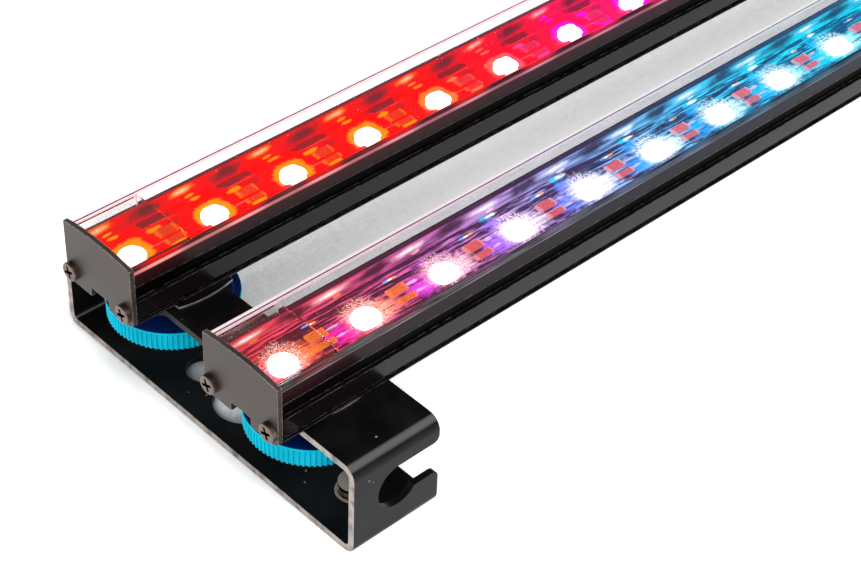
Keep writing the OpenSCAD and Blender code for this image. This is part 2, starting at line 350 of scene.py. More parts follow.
def shade(piece: Piece, degrees: float = 35) -> None:
    """Shades a piece smooth, but for edges sharper than the angle."""
    pick(piece)
    bpy.ops.object.shade_smooth_by_angle(angle=math.radians(degrees))


def near(a: float, b: float, slack: float = 0.02 * MM) -> bool:
    """True if two lengths agree within the slack."""
    return abs(a - b) <= slack


def crowned(
    name: str, half: float, base: float, top: float, shoulder: float, span: Pair, crown: float
) -> Piece:
    """Models an upright block with a crowned top and rounded shoulders, about y = 0.

    Args:
        name: The piece's name.
        half: Half its width.
        base: The height of its flat underside.
        top: The height of the middle of its crown.
        shoulder: The radius of its two upper long edges.
        span: Where it starts and ends along X.
        crown: The radius of its crown.

    Returns:
        The block.
    """
    start, end = span
    body = box(name, (start, -half, base), (end, half, top + OVER))
    arc = rod("crown_arc", crown, (start - OVER, 0, top - crown), end - start + 2 * OVER, Way.X, 512)
    cut(body, arc, keep=True)

    def upper(place: Vector, way: Vector) -> bool:
        """True for the two upper long edges."""
        return abs(way.x) > 0.9 and near(abs(place.y), half) and place.z > base + OVER

    round_edges(body, shoulder, upper, segments=5)
    return body


def helix(low: Pair, high: Pair, tip: float, narrow: float, turns: int) -> Piece:
    """Turns a small ridge round Z as a thread of one millimetre a turn.

    Args:
        low: The ridge's inner radius and its lower edge.
        high: Its outer radius and its upper edge.
        tip: The radius at which it narrows.
        narrow: The share of its width that is left there.
        turns: How often it goes round.

    Returns:
        The thread.
    """
    hair = 0.001 * MM
    ridge = box("thread", (low[0], -hair, low[1]), (high[0], hair, high[1]))
    with chosen_faces(ridge, lambda place, normal: normal.y < 0.9):
        bpy.ops.mesh.delete(type="ONLY_FACE")
    with chosen_edges(ridge, lambda place, way: abs(way.z) > 0.9 and near(place.x, tip)):
        bpy.ops.transform.resize(value=(1, 1, narrow))
    steps = 24 * turns
    rise = {"angle": math.tau * turns, "screw_offset": turns * MM}
    apply_modifier(ridge, "SCREW", steps=steps, render_steps=steps, **rise)
    shade(ridge, 25)
    return ridge


# ---------------------------------------------------------------- node wiring


class Wiring:
    """Adds and joins the nodes of one material or node group."""

    def __init__(self, tree: bpy.types.NodeTree) -> None:
        """Works on this node tree."""
        self.tree = tree

    def feed(self, socket: Socket, value: Value) -> None:
        """Links a socket into another, or sets the other's own value.

        Args:
            socket: The socket to feed.
            value: The socket or value that goes into it.
        """
        if isinstance(value, Socket):
            self.tree.links.new(value, socket)
        elif socket.type == "RGBA":
            socket.default_value = (*value[:3], 1.0)
        else:
            socket.default_value = value

    def add(self, kind: str, feeds: dict[str | int, Value] | None = None, **settings: object) -> Node:
        """Adds a shader node.

        Args:
            kind: The node's type, without its ShaderNode prefix.
            feeds: What goes into its sockets, by their names or places.
            settings: The node's own settings.

        Returns:
            The node.
        """
        node = self.tree.nodes.new("ShaderNode" + kind)
        for name, value in settings.items():
            setattr(node, name, value)
        for name, value in (feeds or {}).items():
            self.feed(node.inputs[name], value)
        return node

    def maths(self, operation: str, *values: Value) -> Socket:
        """Adds a Math node and returns its result."""
        return self.add("Math", dict(enumerate(values)), operation=operation).outputs[0]

    def times(self, first: Value, *others: Value) -> Socket:
        """Multiplies values.

        Args:
            first: The first value.
            others: The values that it is multiplied by.

        Returns:
            The product.
        """
        for other in others:
            first = self.maths("MULTIPLY", first, other)
        return first

    def plus(self, first: Value, second: Value) -> Socket:
        """Adds two values."""
        return self.maths("ADD", first, second)

    def less(self, first: Value, second: Value) -> Socket:
        """Takes the second value from the first."""
        return self.maths("SUBTRACT", first, second)

    def size(self, value: Value) -> Socket:
        """The value without its sign."""
        return self.maths("ABSOLUTE", value)

    def reach(self, u: Value, v: Value) -> Socket:
        """How far the place (u, v) is from (0, 0)."""
        return self.maths("SQRT", self.plus(self.times(u, u), self.times(v, v)))

    def mix(self, factor: Value, first: Value, second: Value) -> Socket:
        """Mixes two colours and returns the result."""
        feeds = {0: factor, 6: first, 7: second}
        return self.add("Mix", feeds, data_type="RGBA").outputs[2]

    def remap(
        self, value: Value, start: Value, end: Value, low: Value = 0, high: Value = 1, smooth: bool = True
    ) -> Socket:
        """Maps a value from one range to another without going past it.

        Args:
            value: The value.
            start: The value that gives low.
            end: The value that gives high.
            low: The result at the start.
            high: The result at the end.
            smooth: True to ease in and out of both.

        Returns:
            The result.
        """
        feeds = {"Value": value, "From Min": start, "From Max": end, "To Min": low, "To Max": high}
        shape = "SMOOTHSTEP" if smooth else "LINEAR"
        return self.add("MapRange", feeds, interpolation_type=shape).outputs["Result"]

    def ramp(self, value: Value, stops: Stops) -> Socket:
        """Turns a value from 0 to 1 into a colour, by colour stops.

        Args:
            value: The value.
            stops: The stops, each a place and a colour.

        Returns:
            The colour.
        """
        node = self.add("ValToRGB", {"Fac": value})
        elements = node.color_ramp.elements
        while len(elements) < len(stops):
            elements.new(0.5)
        for element, (place, colour) in zip(elements, stops):
            element.position = place
            element.color = (*colour, 1.0)
        return node.outputs["Color"]

    def axes(self, place: Value) -> Sockets:
        """Splits coordinates into X, Y and Z."""
        return self.add("SeparateXYZ", {"Vector": place}).outputs

    def facing(self) -> Sockets:
        """The normal's X, Y and Z."""
        return self.axes(self.add("NewGeometry").outputs["Normal"])

    def noise(self, place: Value, scale: Value, detail: float = 2.0, rough: float = 0.5) -> Socket:
        """Adds a noise texture and returns its value."""
        feeds = {"Vector": place, "Scale": scale, "Detail": detail, "Roughness": rough}
        return self.add("TexNoise", feeds).outputs["Fac"]

    def streaks(self, place: Value, stretch: Sequence[float], *look: Value) -> Socket:
        """Adds noise stretched by a different number along each axis."""
        longer = self.add("Mapping", {"Vector": place, "Scale": stretch}).outputs["Vector"]
        return self.noise(longer, *look)

    def use(self, group: bpy.types.NodeTree, **feeds: Value) -> Sockets:
        """Places a node group and gives its outputs; its inputs are named with _ for a space.

        Args:
            group: The node group.
            feeds: What goes into its inputs.

        Returns:
            The group's outputs.
        """
        node = self.tree.nodes.new("ShaderNodeGroup")
        node.node_tree = group
        for name, value in feeds.items():
            self.feed(node.inputs[name.replace("_", " ").title()], value)
        return node.outputs


class GroupWiring(Wiring):
    """The wiring of one shared node group, between its inputs and its outputs."""

    def __init__(self, name: str, inputs: dict[str, float | None], *outputs: str) -> None:
        """Starts a group.

        Args:
            name: The group's name.
            inputs: Each input's first value, or None where it takes coordinates.
            outputs: The names of its outputs.
        """
        super().__init__(bpy.data.node_groups.new(name, "ShaderNodeTree"))
        sockets = self.tree.interface
        for socket, first in inputs.items():
            kind = "NodeSocketVector" if first is None else "NodeSocketFloat"
            made = sockets.new_socket(socket, in_out="INPUT", socket_type=kind)
            if first is not None:
                made.default_value = first
        for socket in outputs:
            sockets.new_socket(socket, in_out="OUTPUT", socket_type="NodeSocketFloat")
        self.given = self.tree.nodes.new("NodeGroupInput").outputs
        self.out = self.tree.nodes.new("NodeGroupOutput").inputs

    def give(self, name: str, value: Socket) -> bpy.types.NodeTree:
        """Feeds one of the group's outputs and gives the group."""
        self.feed(self.out[name], value)
        return self.tree


class Effects:
    """The node groups that several materials share, each built once."""

    def __init__(self) -> None:
        """Builds every group."""
        self.cells = self.build_cells()
        self.spot = self.build_spot()
        self.burst = self.build_burst()
        self.grain = self.build_grain()
        self.drawn = self.build_drawn()
        self.dust = self.build_dust()
        self.wear_and_highlight = self.build_wear_and_highlight()

    @staticmethod
    def build_cells() -> bpy.types.NodeTree:
        """Gives each point's place beside the LED nearest to it along a bar.

        Returns:
            The node group.
        """
        inputs = {"Place": None, "Start": 0, "Pitch": 0.03, "Centre": 0}
        g = GroupWiring("led_cells", inputs, "Along", "After", "Across", "Height", "Chance")
        axes, pitch = g.axes(g.given["Place"]), g.given["Pitch"]
        steps = g.maths("DIVIDE", g.less(axes["X"], g.given["Start"]), pitch)
        g.give("Along", g.times(g.less(steps, g.maths("ROUND", steps)), pitch))
        g.give("After", g.times(g.maths("FRACT", steps), pitch))
        g.give("Across", g.less(axes["Y"], g.given["Centre"]))
        g.give("Height", axes["Z"])
        chance = g.add("TexWhiteNoise", {"W": g.maths("FLOOR", steps)}, noise_dimensions="1D")
        return g.give("Chance", chance.outputs["Value"])

    @staticmethod
    def build_spot() -> bpy.types.NodeTree:
        """Marks a soft-edged oval round a point.

        Returns:
            The node group.
        """
        inputs = {"U": 0, "V": 0, "Half U": 0.004, "Half V": 0.004, "Ragged": 0, "Edge": 0.2}
        g = GroupWiring("oval_spot", inputs, "Mask")
        u, v = (g.maths("DIVIDE", g.given[axis], g.given["Half " + axis]) for axis in "UV")
        reach = g.plus(g.reach(u, v), g.given["Ragged"])
        return g.give("Mask", g.remap(reach, g.less(1.0, g.given["Edge"]), 1.0, 1.0, 0.0))

    @staticmethod
    def build_burst() -> bpy.types.NodeTree:
        """Marks the uneven rays of painted glare round a bright lamp, densest beside it.

        Returns:
            The node group.
        """
        inputs = {"U": 0, "V": 0, "Inner": 0.004, "Outer": 0.008, "Rays": 9, "Seed": 0}
        g = GroupWiring("ray_burst", inputs, "Mask")
        u, v = g.given["U"], g.given["V"]
        reach = g.reach(u, v)
        turn = g.times(g.maths("ARCTAN2", v, u), g.given["Rays"])
        spokes = g.add("CombineXYZ", {"X": turn, "Y": g.times(reach, 110.0), "Z": g.given["Seed"]})
        uneven = g.noise(spokes.outputs["Vector"], 1.0, 3, 0.65)
        fade = g.remap(reach, g.given["Inner"], g.given["Outer"], 1.0, 0.0, smooth=False)
        return g.give("Mask", g.remap(g.plus(fade, uneven), 0.8, 1.25))

    @staticmethod
    def build_grain() -> bpy.types.NodeTree:
        """Gives the fine unevenness of a coated or moulded surface.

        Returns:
            The node group.
        """
        g = GroupWiring("fine_grain", {"Place": None, "Scale": 3000}, "Height", "Cloud")
        place, scale = g.given["Place"], g.given["Scale"]
        g.give("Height", g.noise(place, scale, 3))
        return g.give("Cloud", g.noise(place, g.maths("DIVIDE", scale, 40.0), 4))

    @staticmethod
    def build_drawn() -> bpy.types.NodeTree:
        """Gives the fine lines that an extrusion die leaves along X."""
        g = GroupWiring("drawn_lines", {"Place": None, "Scale": 3000}, "Height")
        return g.give("Height", g.streaks(g.given["Place"], (0.01, 1, 1), g.given["Scale"], 2, 0.6))

    @staticmethod
    def build_dust() -> bpy.types.NodeTree:
        """Marks sparse pale specks of dust.

        Returns:
            The node group.
        """
        g = GroupWiring("dust", {"Place": None, "Scale": 900, "Share": 0.1}, "Mask")
        cells = g.add("TexVoronoi", {"Vector": g.given["Place"], "Scale": g.given["Scale"]}).outputs
        chance = g.add("SeparateColor", {"Color": cells["Color"]}).outputs
        speck = g.maths("LESS_THAN", cells["Distance"], g.times(chance["Green"], 0.22))
        return g.give("Mask", g.times(speck, g.maths("LESS_THAN", chance["Red"], g.given["Share"])))

    @staticmethod
    def build_wear_and_highlight() -> bpy.types.NodeTree:
        """Marks outer edges, broken up in patches, both where a coat is worn thin and as painted highlights
        that edges catch.

        Returns:
            The node group.
        """
        g = GroupWiring("edge_wear_and_highlight", {"Place": None, "Scale": 1200, "Amount": 1}, "Mask")
        turned = g.add("Bevel", {"Radius": 0.35 * MM}, samples=4).outputs["Normal"]
        flat = g.add("NewGeometry").outputs["Normal"]
        agree = g.add("VectorMath", {0: turned, 1: flat}, operation="DOT_PRODUCT").outputs["Value"]
        patches = g.noise(g.given["Place"], g.given["Scale"], 3)
        wear_and_highlight_mask = g.times(g.remap(g.less(1.0, agree), 0.01, 0.2), g.remap(patches, 0.35, 0.65))
        return g.give("Mask", g.times(wear_and_highlight_mask, g.given["Amount"]))


# ---------------------------------------------------------------- finishes


class Surface(Wiring):
    """The wiring of one material, round its Principled node."""

    SOCKETS = {
        "colour": "Base Color",
        "shine": "Specular IOR Level",
        "light": "Emission Color",
        "strength": "Emission Strength",
        "ior": "IOR",
        "passing": "Transmission Weight",
    }

    def __init__(self, tree: bpy.types.NodeTree, fx: Effects) -> None:
        """Starts the material with its Principled node and its Object coordinates.

        Args:
            tree: The material's node tree.
            fx: The shared effects.
        """
        super().__init__(tree)
        self.fx = fx
        self.skin = self.add("BsdfPrincipled")
        self.at = self.add("TexCoord").outputs["Object"]

    def coat(self, **feeds: Value) -> None:
        """Feeds the Principled node."""
        for name, value in feeds.items():
            self.feed(self.skin.inputs[self.SOCKETS.get(name, name.title())], value)

    def bump(self, height: Value, depth: float) -> None:
        """Feeds a height into the normal, with a real depth in metres."""
        node = self.add("Bump", {"Height": height, "Distance": depth, "Strength": 1.0})
        self.coat(normal=node.outputs["Normal"])

    def grain(self, scale: float) -> Sockets:
        """Fine unevenness and slow clouds."""
        return self.use(self.fx.grain, place=self.at, scale=scale)

    def lines(self, scale: float = 3000.0) -> Socket:
        """Fine lines along X."""
        return self.use(self.fx.drawn, place=self.at, scale=scale)["Height"]

    def wear_and_highlight_mask(self, amount: float, scale: float = 1200.0) -> Socket:
        """Marks worn edges and painted edge highlights."""
        return self.use(self.fx.wear_and_highlight, place=self.at, scale=scale, amount=amount)["Mask"]

    def specks(self, scale: float, share: float) -> Socket:
        """Marks dust."""
        return self.use(self.fx.dust, place=self.at, scale=scale, share=share)["Mask"]


def dim(colour: Colour, level: float, lift: float = 0.0) -> Colour:
    """A colour made darker or lighter."""
    return tuple(level * c + lift for c in colour)


@dataclass(frozen=True)
class Finish:
    """A surface finish; a subclass wires its own look."""

    name: str
    see_through: ClassVar[bool] = False

    def wire(self, w: Surface) -> None:
        """Feeds the material's Principled node. Each subclass has its own."""
        raise NotImplementedError

    def material(self, fx: Effects) -> bpy.types.Material:
        """Builds the material, or finds it if it is already built.

        Args:
            fx: The shared effects.

        Returns:
            The material.
        """
        name = f"{self.name}_look"
        found = bpy.data.materials.get(name)
        if found is not None:
            return found
        made = bpy.data.materials.new(name)
        made.use_nodes = True
        made.node_tree.nodes.clear()
        w = Surface(made.node_tree, fx)
        surface = w.skin.outputs["BSDF"]
        if self.see_through:
            shadow = w.add("LightPath").outputs["Is Shadow Ray"]
            passing = w.add("BsdfTransparent", {"Color": (0.94, 0.94, 0.95)}).outputs["BSDF"]
            surface = w.add("MixShader", {0: shadow, 1: surface, 2: passing}).outputs[0]
        w.add("OutputMaterial", {"Surface": surface})
        self.wire(w)
        return made


@dataclass(frozen=True)
class Coated(Finish):
    """Satin coat on sheet metal, with grain, clouding and dust, edges paler where worn and as painted
    highlight, and if asked a painted highlight along its bends.
    """

    colour: Colour = (0.012, 0.011, 0.011)
    wear_and_highlight_colour: Colour = (0.25, 0.2, 0.17)
    dusty: Colour = (0.35, 0.32, 0.3)
    # bent is the colour of the painted highlight along the bends.
    bent: Colour = (0.13, 0.125, 0.125)
    roughness: float = 0.38
    grain: float = 2600
    depth: float = 0.012 * MM
    wear_and_highlight: float = 0.5
    dust: float = 0.12
    metallic: float = 0.0
    shine: float = 0.5
    bend_highlight: float = 0.0

    def wire(self, w: Surface) -> None:
        """Feeds colour, roughness and bump.

        Args:
            w: The material's wiring.
        """
        grain = w.grain(self.grain)
        body = w.mix(w.remap(grain["Cloud"], 0.35, 0.7), self.colour, dim(self.colour, 1.7, 0.004))
        # Painted highlight: faces tilted up and across the bar, as on the bends, are lightened towards the
        # bent colour.
        if self.bend_highlight > 0:
            facing = w.facing()
            upward = w.maths("POWER", w.maths("MAXIMUM", facing["Z"], 0.0), 3.0)
            bend = w.remap(w.times(w.size(facing["Y"]), upward), 0.18, 0.32, 0.0, self.bend_highlight)
            body = w.mix(bend, body, self.bent)
        # Worn edges and painted edge highlights share one pale mark.
        body = w.mix(w.wear_and_highlight_mask(self.wear_and_highlight), body, self.wear_and_highlight_colour)
        w.coat(
            colour=w.mix(w.specks(650.0, self.dust), body, self.dusty),
            roughness=w.remap(grain["Cloud"], 0.3, 0.75, self.roughness - 0.06, self.roughness + 0.1),
            metallic=self.metallic,
            shine=self.shine,
        )
        w.bump(grain["Height"], self.depth)


@dataclass(frozen=True)
class Drawn(Finish):
    """Black anodised extrusion with die lines along the bar, its edges paler where worn and as painted
    highlight.
    """

    colour: Colour = (0.006, 0.0045, 0.005)
    wear_and_highlight_colour: Colour = (0.3, 0.26, 0.26)
    roughness: float = 0.2
    shine: float = 0.2

    def wire(self, w: Surface) -> None:
        """Feeds colour, roughness and bump.

        Args:
            w: The material's wiring.
        """
        lines = w.lines(2600.0)
        body = w.mix(w.remap(lines, 0.3, 0.7), self.colour, dim(self.colour, 1.5))
        # The pale edges are partly wear and partly a painted highlight along the channel's edges.
        w.coat(
            colour=w.mix(w.wear_and_highlight_mask(0.7, 400.0), body, self.wear_and_highlight_colour),
            roughness=w.remap(lines, 0.3, 0.7, self.roughness - 0.03, self.roughness + 0.05),
            metallic=0.0,
            shine=self.shine,
        )
        w.bump(lines, 0.001 * MM)


@dataclass(frozen=True)
class SheetEdge(Finish):
    """Cut edge of the sheet, tan-grey both as metal where the coat is thin and as the painted highlight
    that the edges catch.
    """

    colour: Colour = (0.5, 0.43, 0.39)
    scratched: Colour = (0.55, 0.47, 0.42)

    def wire(self, w: Surface) -> None:
        """Feeds colour, roughness and bump.

        Args:
            w: The material's wiring.
        """
        cloud = w.noise(w.at, 260.0, 4, 0.65)
        scratches = w.streaks(w.at, (1, 0.15, 0.15), 2500.0, 3)
        body = w.mix(w.remap(cloud, 0.3, 0.6), dim(self.colour, 0.3), self.colour)
        w.coat(
            colour=w.mix(w.remap(scratches, 0.52, 0.7, 0.0, 0.45), body, self.scratched),
            roughness=w.remap(scratches, 0.3, 0.7, 0.38, 0.6),
            metallic=0.35,
        )
        w.bump(scratches, 0.01 * MM)


@dataclass(frozen=True)
class Metal(Finish):
    """Plain turned or plated metal with faint tool marks."""

    colour: Colour = (0.5, 0.5, 0.52)
    roughness: float = 0.3
    dirt: Colour = (0.03, 0.025, 0.02)

    def wire(self, w: Surface) -> None:
        """Feeds colour, roughness and bump.

        Args:
            w: The material's wiring.
        """
        grain = w.grain(5200.0)
        w.coat(
            colour=w.mix(w.remap(grain["Cloud"], 0.5, 0.75, 0.0, 0.45), self.colour, self.dirt),
            roughness=w.remap(grain["Height"], 0.3, 0.7, self.roughness - 0.08, self.roughness + 0.12),
            metallic=1.0,
        )
        w.bump(grain["Height"], 0.008 * MM)


@dataclass(frozen=True)
class Moulded(Finish):
    """Moulded plastic with a fine skin, worn a little paler at its edges, and where an upper colour is
    given, with painted shade on the faces that look up.
    """

    colour: Colour = (0.03, 0.03, 0.03)
    pale: Colour = (0.2, 0.2, 0.2)
    roughness: float = 0.42
    wear_and_highlight: float = 0.4
    shine: float = 0.5
    upper: Colour | None = None

    def wire(self, w: Surface) -> None:
        """Feeds colour, roughness and bump.

        Args:
            w: The material's wiring.
        """
        grain = w.grain(3800.0)
        body = w.mix(w.remap(grain["Cloud"], 0.3, 0.7), dim(self.colour, 0.8), self.colour)
        body = w.mix(w.wear_and_highlight_mask(self.wear_and_highlight), body, self.pale)
        # Painted shade: faces that look up take the upper colour.
        if self.upper is not None:
            body = w.mix(w.remap(w.facing()["Z"], 0.6, 0.9), body, self.upper)
        rough = w.remap(grain["Height"], 0.3, 0.7, self.roughness - 0.06, self.roughness + 0.08)
        w.coat(colour=body, roughness=rough, shine=self.shine)
        w.bump(grain["Height"], 0.01 * MM)


@dataclass(frozen=True)
class LightMap:
    """Where the LEDs of a bar sit and how their colours run from its near end to its far end.

    Attributes:
        start: Where the first LED sits along X.
        pitch: The distance from one LED to the next.
        centre: Where the bar's middle lies along Y.
        board_top: The height of the board's upper face.
        far: Where the bar ends along X.
        runs: The colour stops of each painted light: base is the light on the board and shade is
        where little falls. Warm is beyond each LED and cool before it. Parts is on the resistors,
        image is the painted reflection on the inner walls and band is in the cover's shoulder.
    """

    start: float
    pitch: float
    centre: float
    board_top: float
    far: float
    runs: dict[str, Stops]


@dataclass(frozen=True)
class Mark:
    """An oval patch of light or shade that comes back at every LED.

    Attributes:
        at: Its place from the LED, along and across, in millimetres.
        half: Half its size each way, in millimetres.
        colour: Its colour, or the name of one of the bar's runs of colour.
        share: How much of it covers what lies below.
        edge: The share of it that fades.
        since: The share of the bar's length that it starts after.
    """

    at: Pair
    half: Pair
    colour: Colour | str
    share: float = 1.0
    edge: float = 0.4
    since: float = 0.0


@dataclass(frozen=True)
class LitFinish(Finish):
    """A surface in a bar, with the light of the LEDs beside it painted into its emission colour."""

    lights: LightMap
    strength: float = 1.25
    shine: float = 0.1

    def cell(self, w: Surface) -> Sockets:
        """Places the group that finds the nearest LED."""
        lights = self.lights
        return w.use(w.fx.cells, place=w.at, start=lights.start, pitch=lights.pitch, centre=lights.centre)

    def share(self, w: Surface) -> Socket:
        """Gives how far along the bar a place is, from 0 to 1."""
        return w.remap(w.axes(w.at)["X"], self.lights.start, self.lights.far, smooth=False)

    def run(self, w: Surface, name: str) -> Socket:
        """Gives one of the bar's runs of colour."""
        return w.ramp(self.share(w), self.lights.runs[name])

    def over_board(self, w: Surface) -> Socket:
        """Gives the height over the board."""
        return w.less(w.axes(w.at)["Z"], self.lights.board_top)

    @staticmethod
    def oval(w: Surface, u: Value, v: Value, mark: Mark, ragged: Value) -> Socket:
        """Marks an oval in the two given coordinates.

        Args:
            w: The material's wiring.
            u: The first coordinate.
            v: The second coordinate.
            mark: The oval's place, size and fading edge.
            ragged: How much its edge is pushed in or out.

        Returns:
            The mask, from 0 to the mark's share.
        """
        (at_u, at_v), (half_u, half_v) = (dim(pair, MM) for pair in (mark.at, mark.half))
        u, v = w.less(u, at_u), w.less(v, at_v)
        mask = w.use(w.fx.spot, u=u, v=v, half_u=half_u, half_v=half_v, edge=mark.edge, ragged=ragged)
        return w.times(mask["Mask"], mark.share)

    def marked(
        self, w: Surface, body: Socket, marks: Sequence[Mark], ragged: Value, upward: bool = False
    ) -> Socket:
        """Lays marks over a colour, one after the other.

        Args:
            w: The material's wiring.
            body: The colour below them.
            marks: The marks.
            ragged: How much their edges are pushed in or out.
            upward: True if they are placed by their height over the board, not across it.

        Returns:
            The colour with the marks on it.
        """
        cell = self.cell(w)
        v = w.less(cell["Height"], self.lights.board_top) if upward else cell["Across"]
        share = self.share(w)
        for mark in marks:
            u = cell["After" if mark.at[0] > 7 else "Along"]
            mask = self.oval(w, u, v, mark, ragged)
            if mark.since > 0:
                mask = w.times(mask, w.remap(share, mark.since, mark.since + 0.02))
            colour = self.run(w, mark.colour) if isinstance(mark.colour, str) else mark.colour
            body = w.mix(mask, body, colour)
        return body

    @staticmethod
    def uneven(w: Surface, scale: float, reach: float) -> Socket:
        """Gives noise about 0 that roughens the edges of marks."""
        return w.times(w.less(w.noise(w.at, scale, 3), 0.5), reach)

    def burst(self, w: Surface, at: float, inner: float, outer: float) -> Socket:
        """Marks the rays of painted glare round each LED, from one radius to another, in millimetres.

        Args:
            w: The material's wiring.
            at: Where their middle lies from the LED, both ways.
            inner: The radius inside which they are solid.
            outer: The radius at which they end.

        Returns:
            The mask.
        """
        cell = self.cell(w)
        u, v = (w.less(cell[way], at * MM) for way in ("Along", "Across"))
        seed = w.times(cell["Chance"], 40.0)
        return w.use(w.fx.burst, u=u, v=v, inner=inner * MM, outer=outer * MM, seed=seed)["Mask"]

    def glow(self, w: Surface, own: Value, light: Value) -> None:
        """Feeds the surface's own colour, and the painted light on it as emission."""
        w.coat(colour=own, light=light, strength=self.strength, shine=self.shine)


@dataclass(frozen=True)
class Clear(Finish):
    """Clear acrylic with faint drawn lines along it and a little dust."""

    see_through: ClassVar[bool] = True
    tint: Colour = (0.985, 0.985, 0.99)
    lines: float = 0.0015 * MM
    alpha: float = 1.0

    def wire(self, w: Surface) -> None:
        """Feeds colour, roughness and bump.

        Args:
            w: The material's wiring.
        """
        lines = w.lines(1800.0)
        haze = w.mix(w.remap(lines, 0.3, 0.7), self.tint, dim(self.tint, 0.97))
        w.coat(colour=haze, roughness=w.times(w.specks(800.0, 0.08), 0.35))
        w.coat(passing=1.0, ior=1.45, alpha=self.alpha)
        w.bump(lines, self.lines)


@dataclass(frozen=True)
class ClearSide(LitFinish):
    """The cover's outer side, painted opaque and dark below as shade, with the LEDs' painted light caught
    in its shoulder.

    Attributes:
        low: The height of the band of light above the board.
        high: The height of its upper edge.
        above: The strength of the fine painted glinting lines over it.
        seen: How much of the board's light shows over it beside each LED.
        core: The strength of the pale painted highlight line along its middle.
    """

    low: float = 8.6 * MM
    high: float = 10.3 * MM
    above: float = 0.2
    seen: float = 0.9
    core: float = 0.6
    strength: float = 1.0

    def wire(self, w: Surface) -> None:
        """Feeds the painted dark shade of the side, its painted glinting lines, and the painted band of
        light.

        Args:
            w: The material's wiring.
        """
        cell = self.cell(w)
        height = w.less(cell["Height"], self.lights.board_top)
        threads = w.lines(5200.0)
        fade = w.size(cell["Along"])
        strong = w.remap(fade, 2 * MM, 10 * MM, 1.0, 0.45)
        low = w.remap(height, self.low, self.low + 0.3 * MM)
        high = w.remap(height, self.high - 0.4 * MM, self.high, 1.0, 0.0)
        over = w.remap(height, self.high, self.high + 0.3 * MM)
        fine = w.times(over, w.remap(threads, 0.46, 0.56), self.above)
        # Painted shade: black low down, with a little of the bar's shade colour higher up.
        rising = w.remap(height, 2.0 * MM, self.low, 0.0, 0.2)
        colour = w.mix(rising, (0.0, 0.0, 0.0), self.run(w, "shade"))
        # Painted light: the band in the shoulder, the board's light beside each LED and a pale painted
        # highlight along the band's middle.
        band = w.maths("MAXIMUM", w.times(low, high, strong), fine)
        colour = w.mix(band, colour, self.run(w, "band"))
        near_led = w.times(over, w.remap(fade, 3 * MM, 9 * MM, self.seen, 0.0))
        colour = w.mix(near_led, colour, self.run(w, "base"))
        middle = w.size(w.less(height, (self.low + self.high) / 2))
        heart = w.times(w.remap(middle, 0.1 * MM, 0.3 * MM, self.core, 0.0), strong)
        colour = w.mix(heart, colour, w.mix(0.5, self.run(w, "band"), (1.0, 0.95, 1.0)))
        self.glow(w, (0.006, 0.004, 0.005), colour)
        w.coat(roughness=w.remap(threads, 0.3, 0.7, 0.12, 0.3))


@dataclass(frozen=True)
class ClearEdge(LitFinish):
    """A cut end or shoulder of clear acrylic, with the light that runs out of it painted on as emission."""

    strength: float = 1.0
    level: float = 0.75

    def wire(self, w: Surface) -> None:
        """Feeds colour, saw marks and painted light.

        Args:
            w: The material's wiring.
        """
        saw = w.streaks(w.at, (1, 1, 0.2), 2600.0, 3)
        pale = w.mix(self.level, self.run(w, "base"), (1.0, 0.9, 0.94))
        dull = w.mix(0.6, pale, (0.2, 0.12, 0.15))
        self.glow(w, (0.6, 0.55, 0.57), w.mix(w.remap(saw, 0.3, 0.7), dull, pale))
        w.coat(roughness=w.remap(saw, 0.3, 0.7, 0.3, 0.6))
        w.bump(saw, 0.01 * MM)


@dataclass(frozen=True)
class RedLitBoard(LitFinish):
    """The left bar's board: dark, painted red all over with the LEDs' light, with painted shade between and
    painted orange where tin and parts throw the light back.
    """

    # Painted light and shade round each LED: shade patches, pale painted highlight streaks, warm pools and
    # a yellow core.
    marks: tuple[Mark, ...] = (
        Mark((15, 10.6), (7.5, 2.4), "shade", 0.85, 0.35),
        Mark((19, 6.4), (3.2, 1.8), "shade", 0.5, 0.5),
        Mark((16, 8.7), (8.0, 0.35), (1.0, 0.1, 0.08), 0.5, 0.6),
        Mark((11, 0.8), (8.0, 0.3), (1.0, 0.2, 0.15), 0.5, 0.6),
        Mark((12.5, 6.8), (2.9, 1.2), "warm", 0.95),
        Mark((14.5, -2.6), (3.4, 1.1), "warm", 0.95),
        Mark((1.5, 10.9), (2.4, 0.8), "warm", 0.9),
        Mark((4.3, 5.2), (3.6, 2.8), "warm", 0.95),
        Mark((1.4, 1.4), (6.3, 6.1), "warm", 1.0, 0.25),
        Mark((1.2, 1.2), (4.9, 4.9), (1.0, 0.75, 0.1), 1.0, 0.3),
    )

    def wire(self, w: Surface) -> None:
        """Feeds the board's own dark colour and the painted light on it.

        Args:
            w: The material's wiring.
        """
        body = self.marked(w, self.run(w, "base"), self.marks, self.uneven(w, 420.0, 1.3))
        # Painted glare: rays of the warm colour round each LED.
        body = w.mix(w.times(self.burst(w, 1.3, 4.6, 7.6), 0.9), body, self.run(w, "warm"))
        self.glow(w, (0.05, 0.008, 0.008), body)
        w.coat(roughness=0.35)
        w.bump(w.noise(w.at, 2200.0, 2), 0.01 * MM)


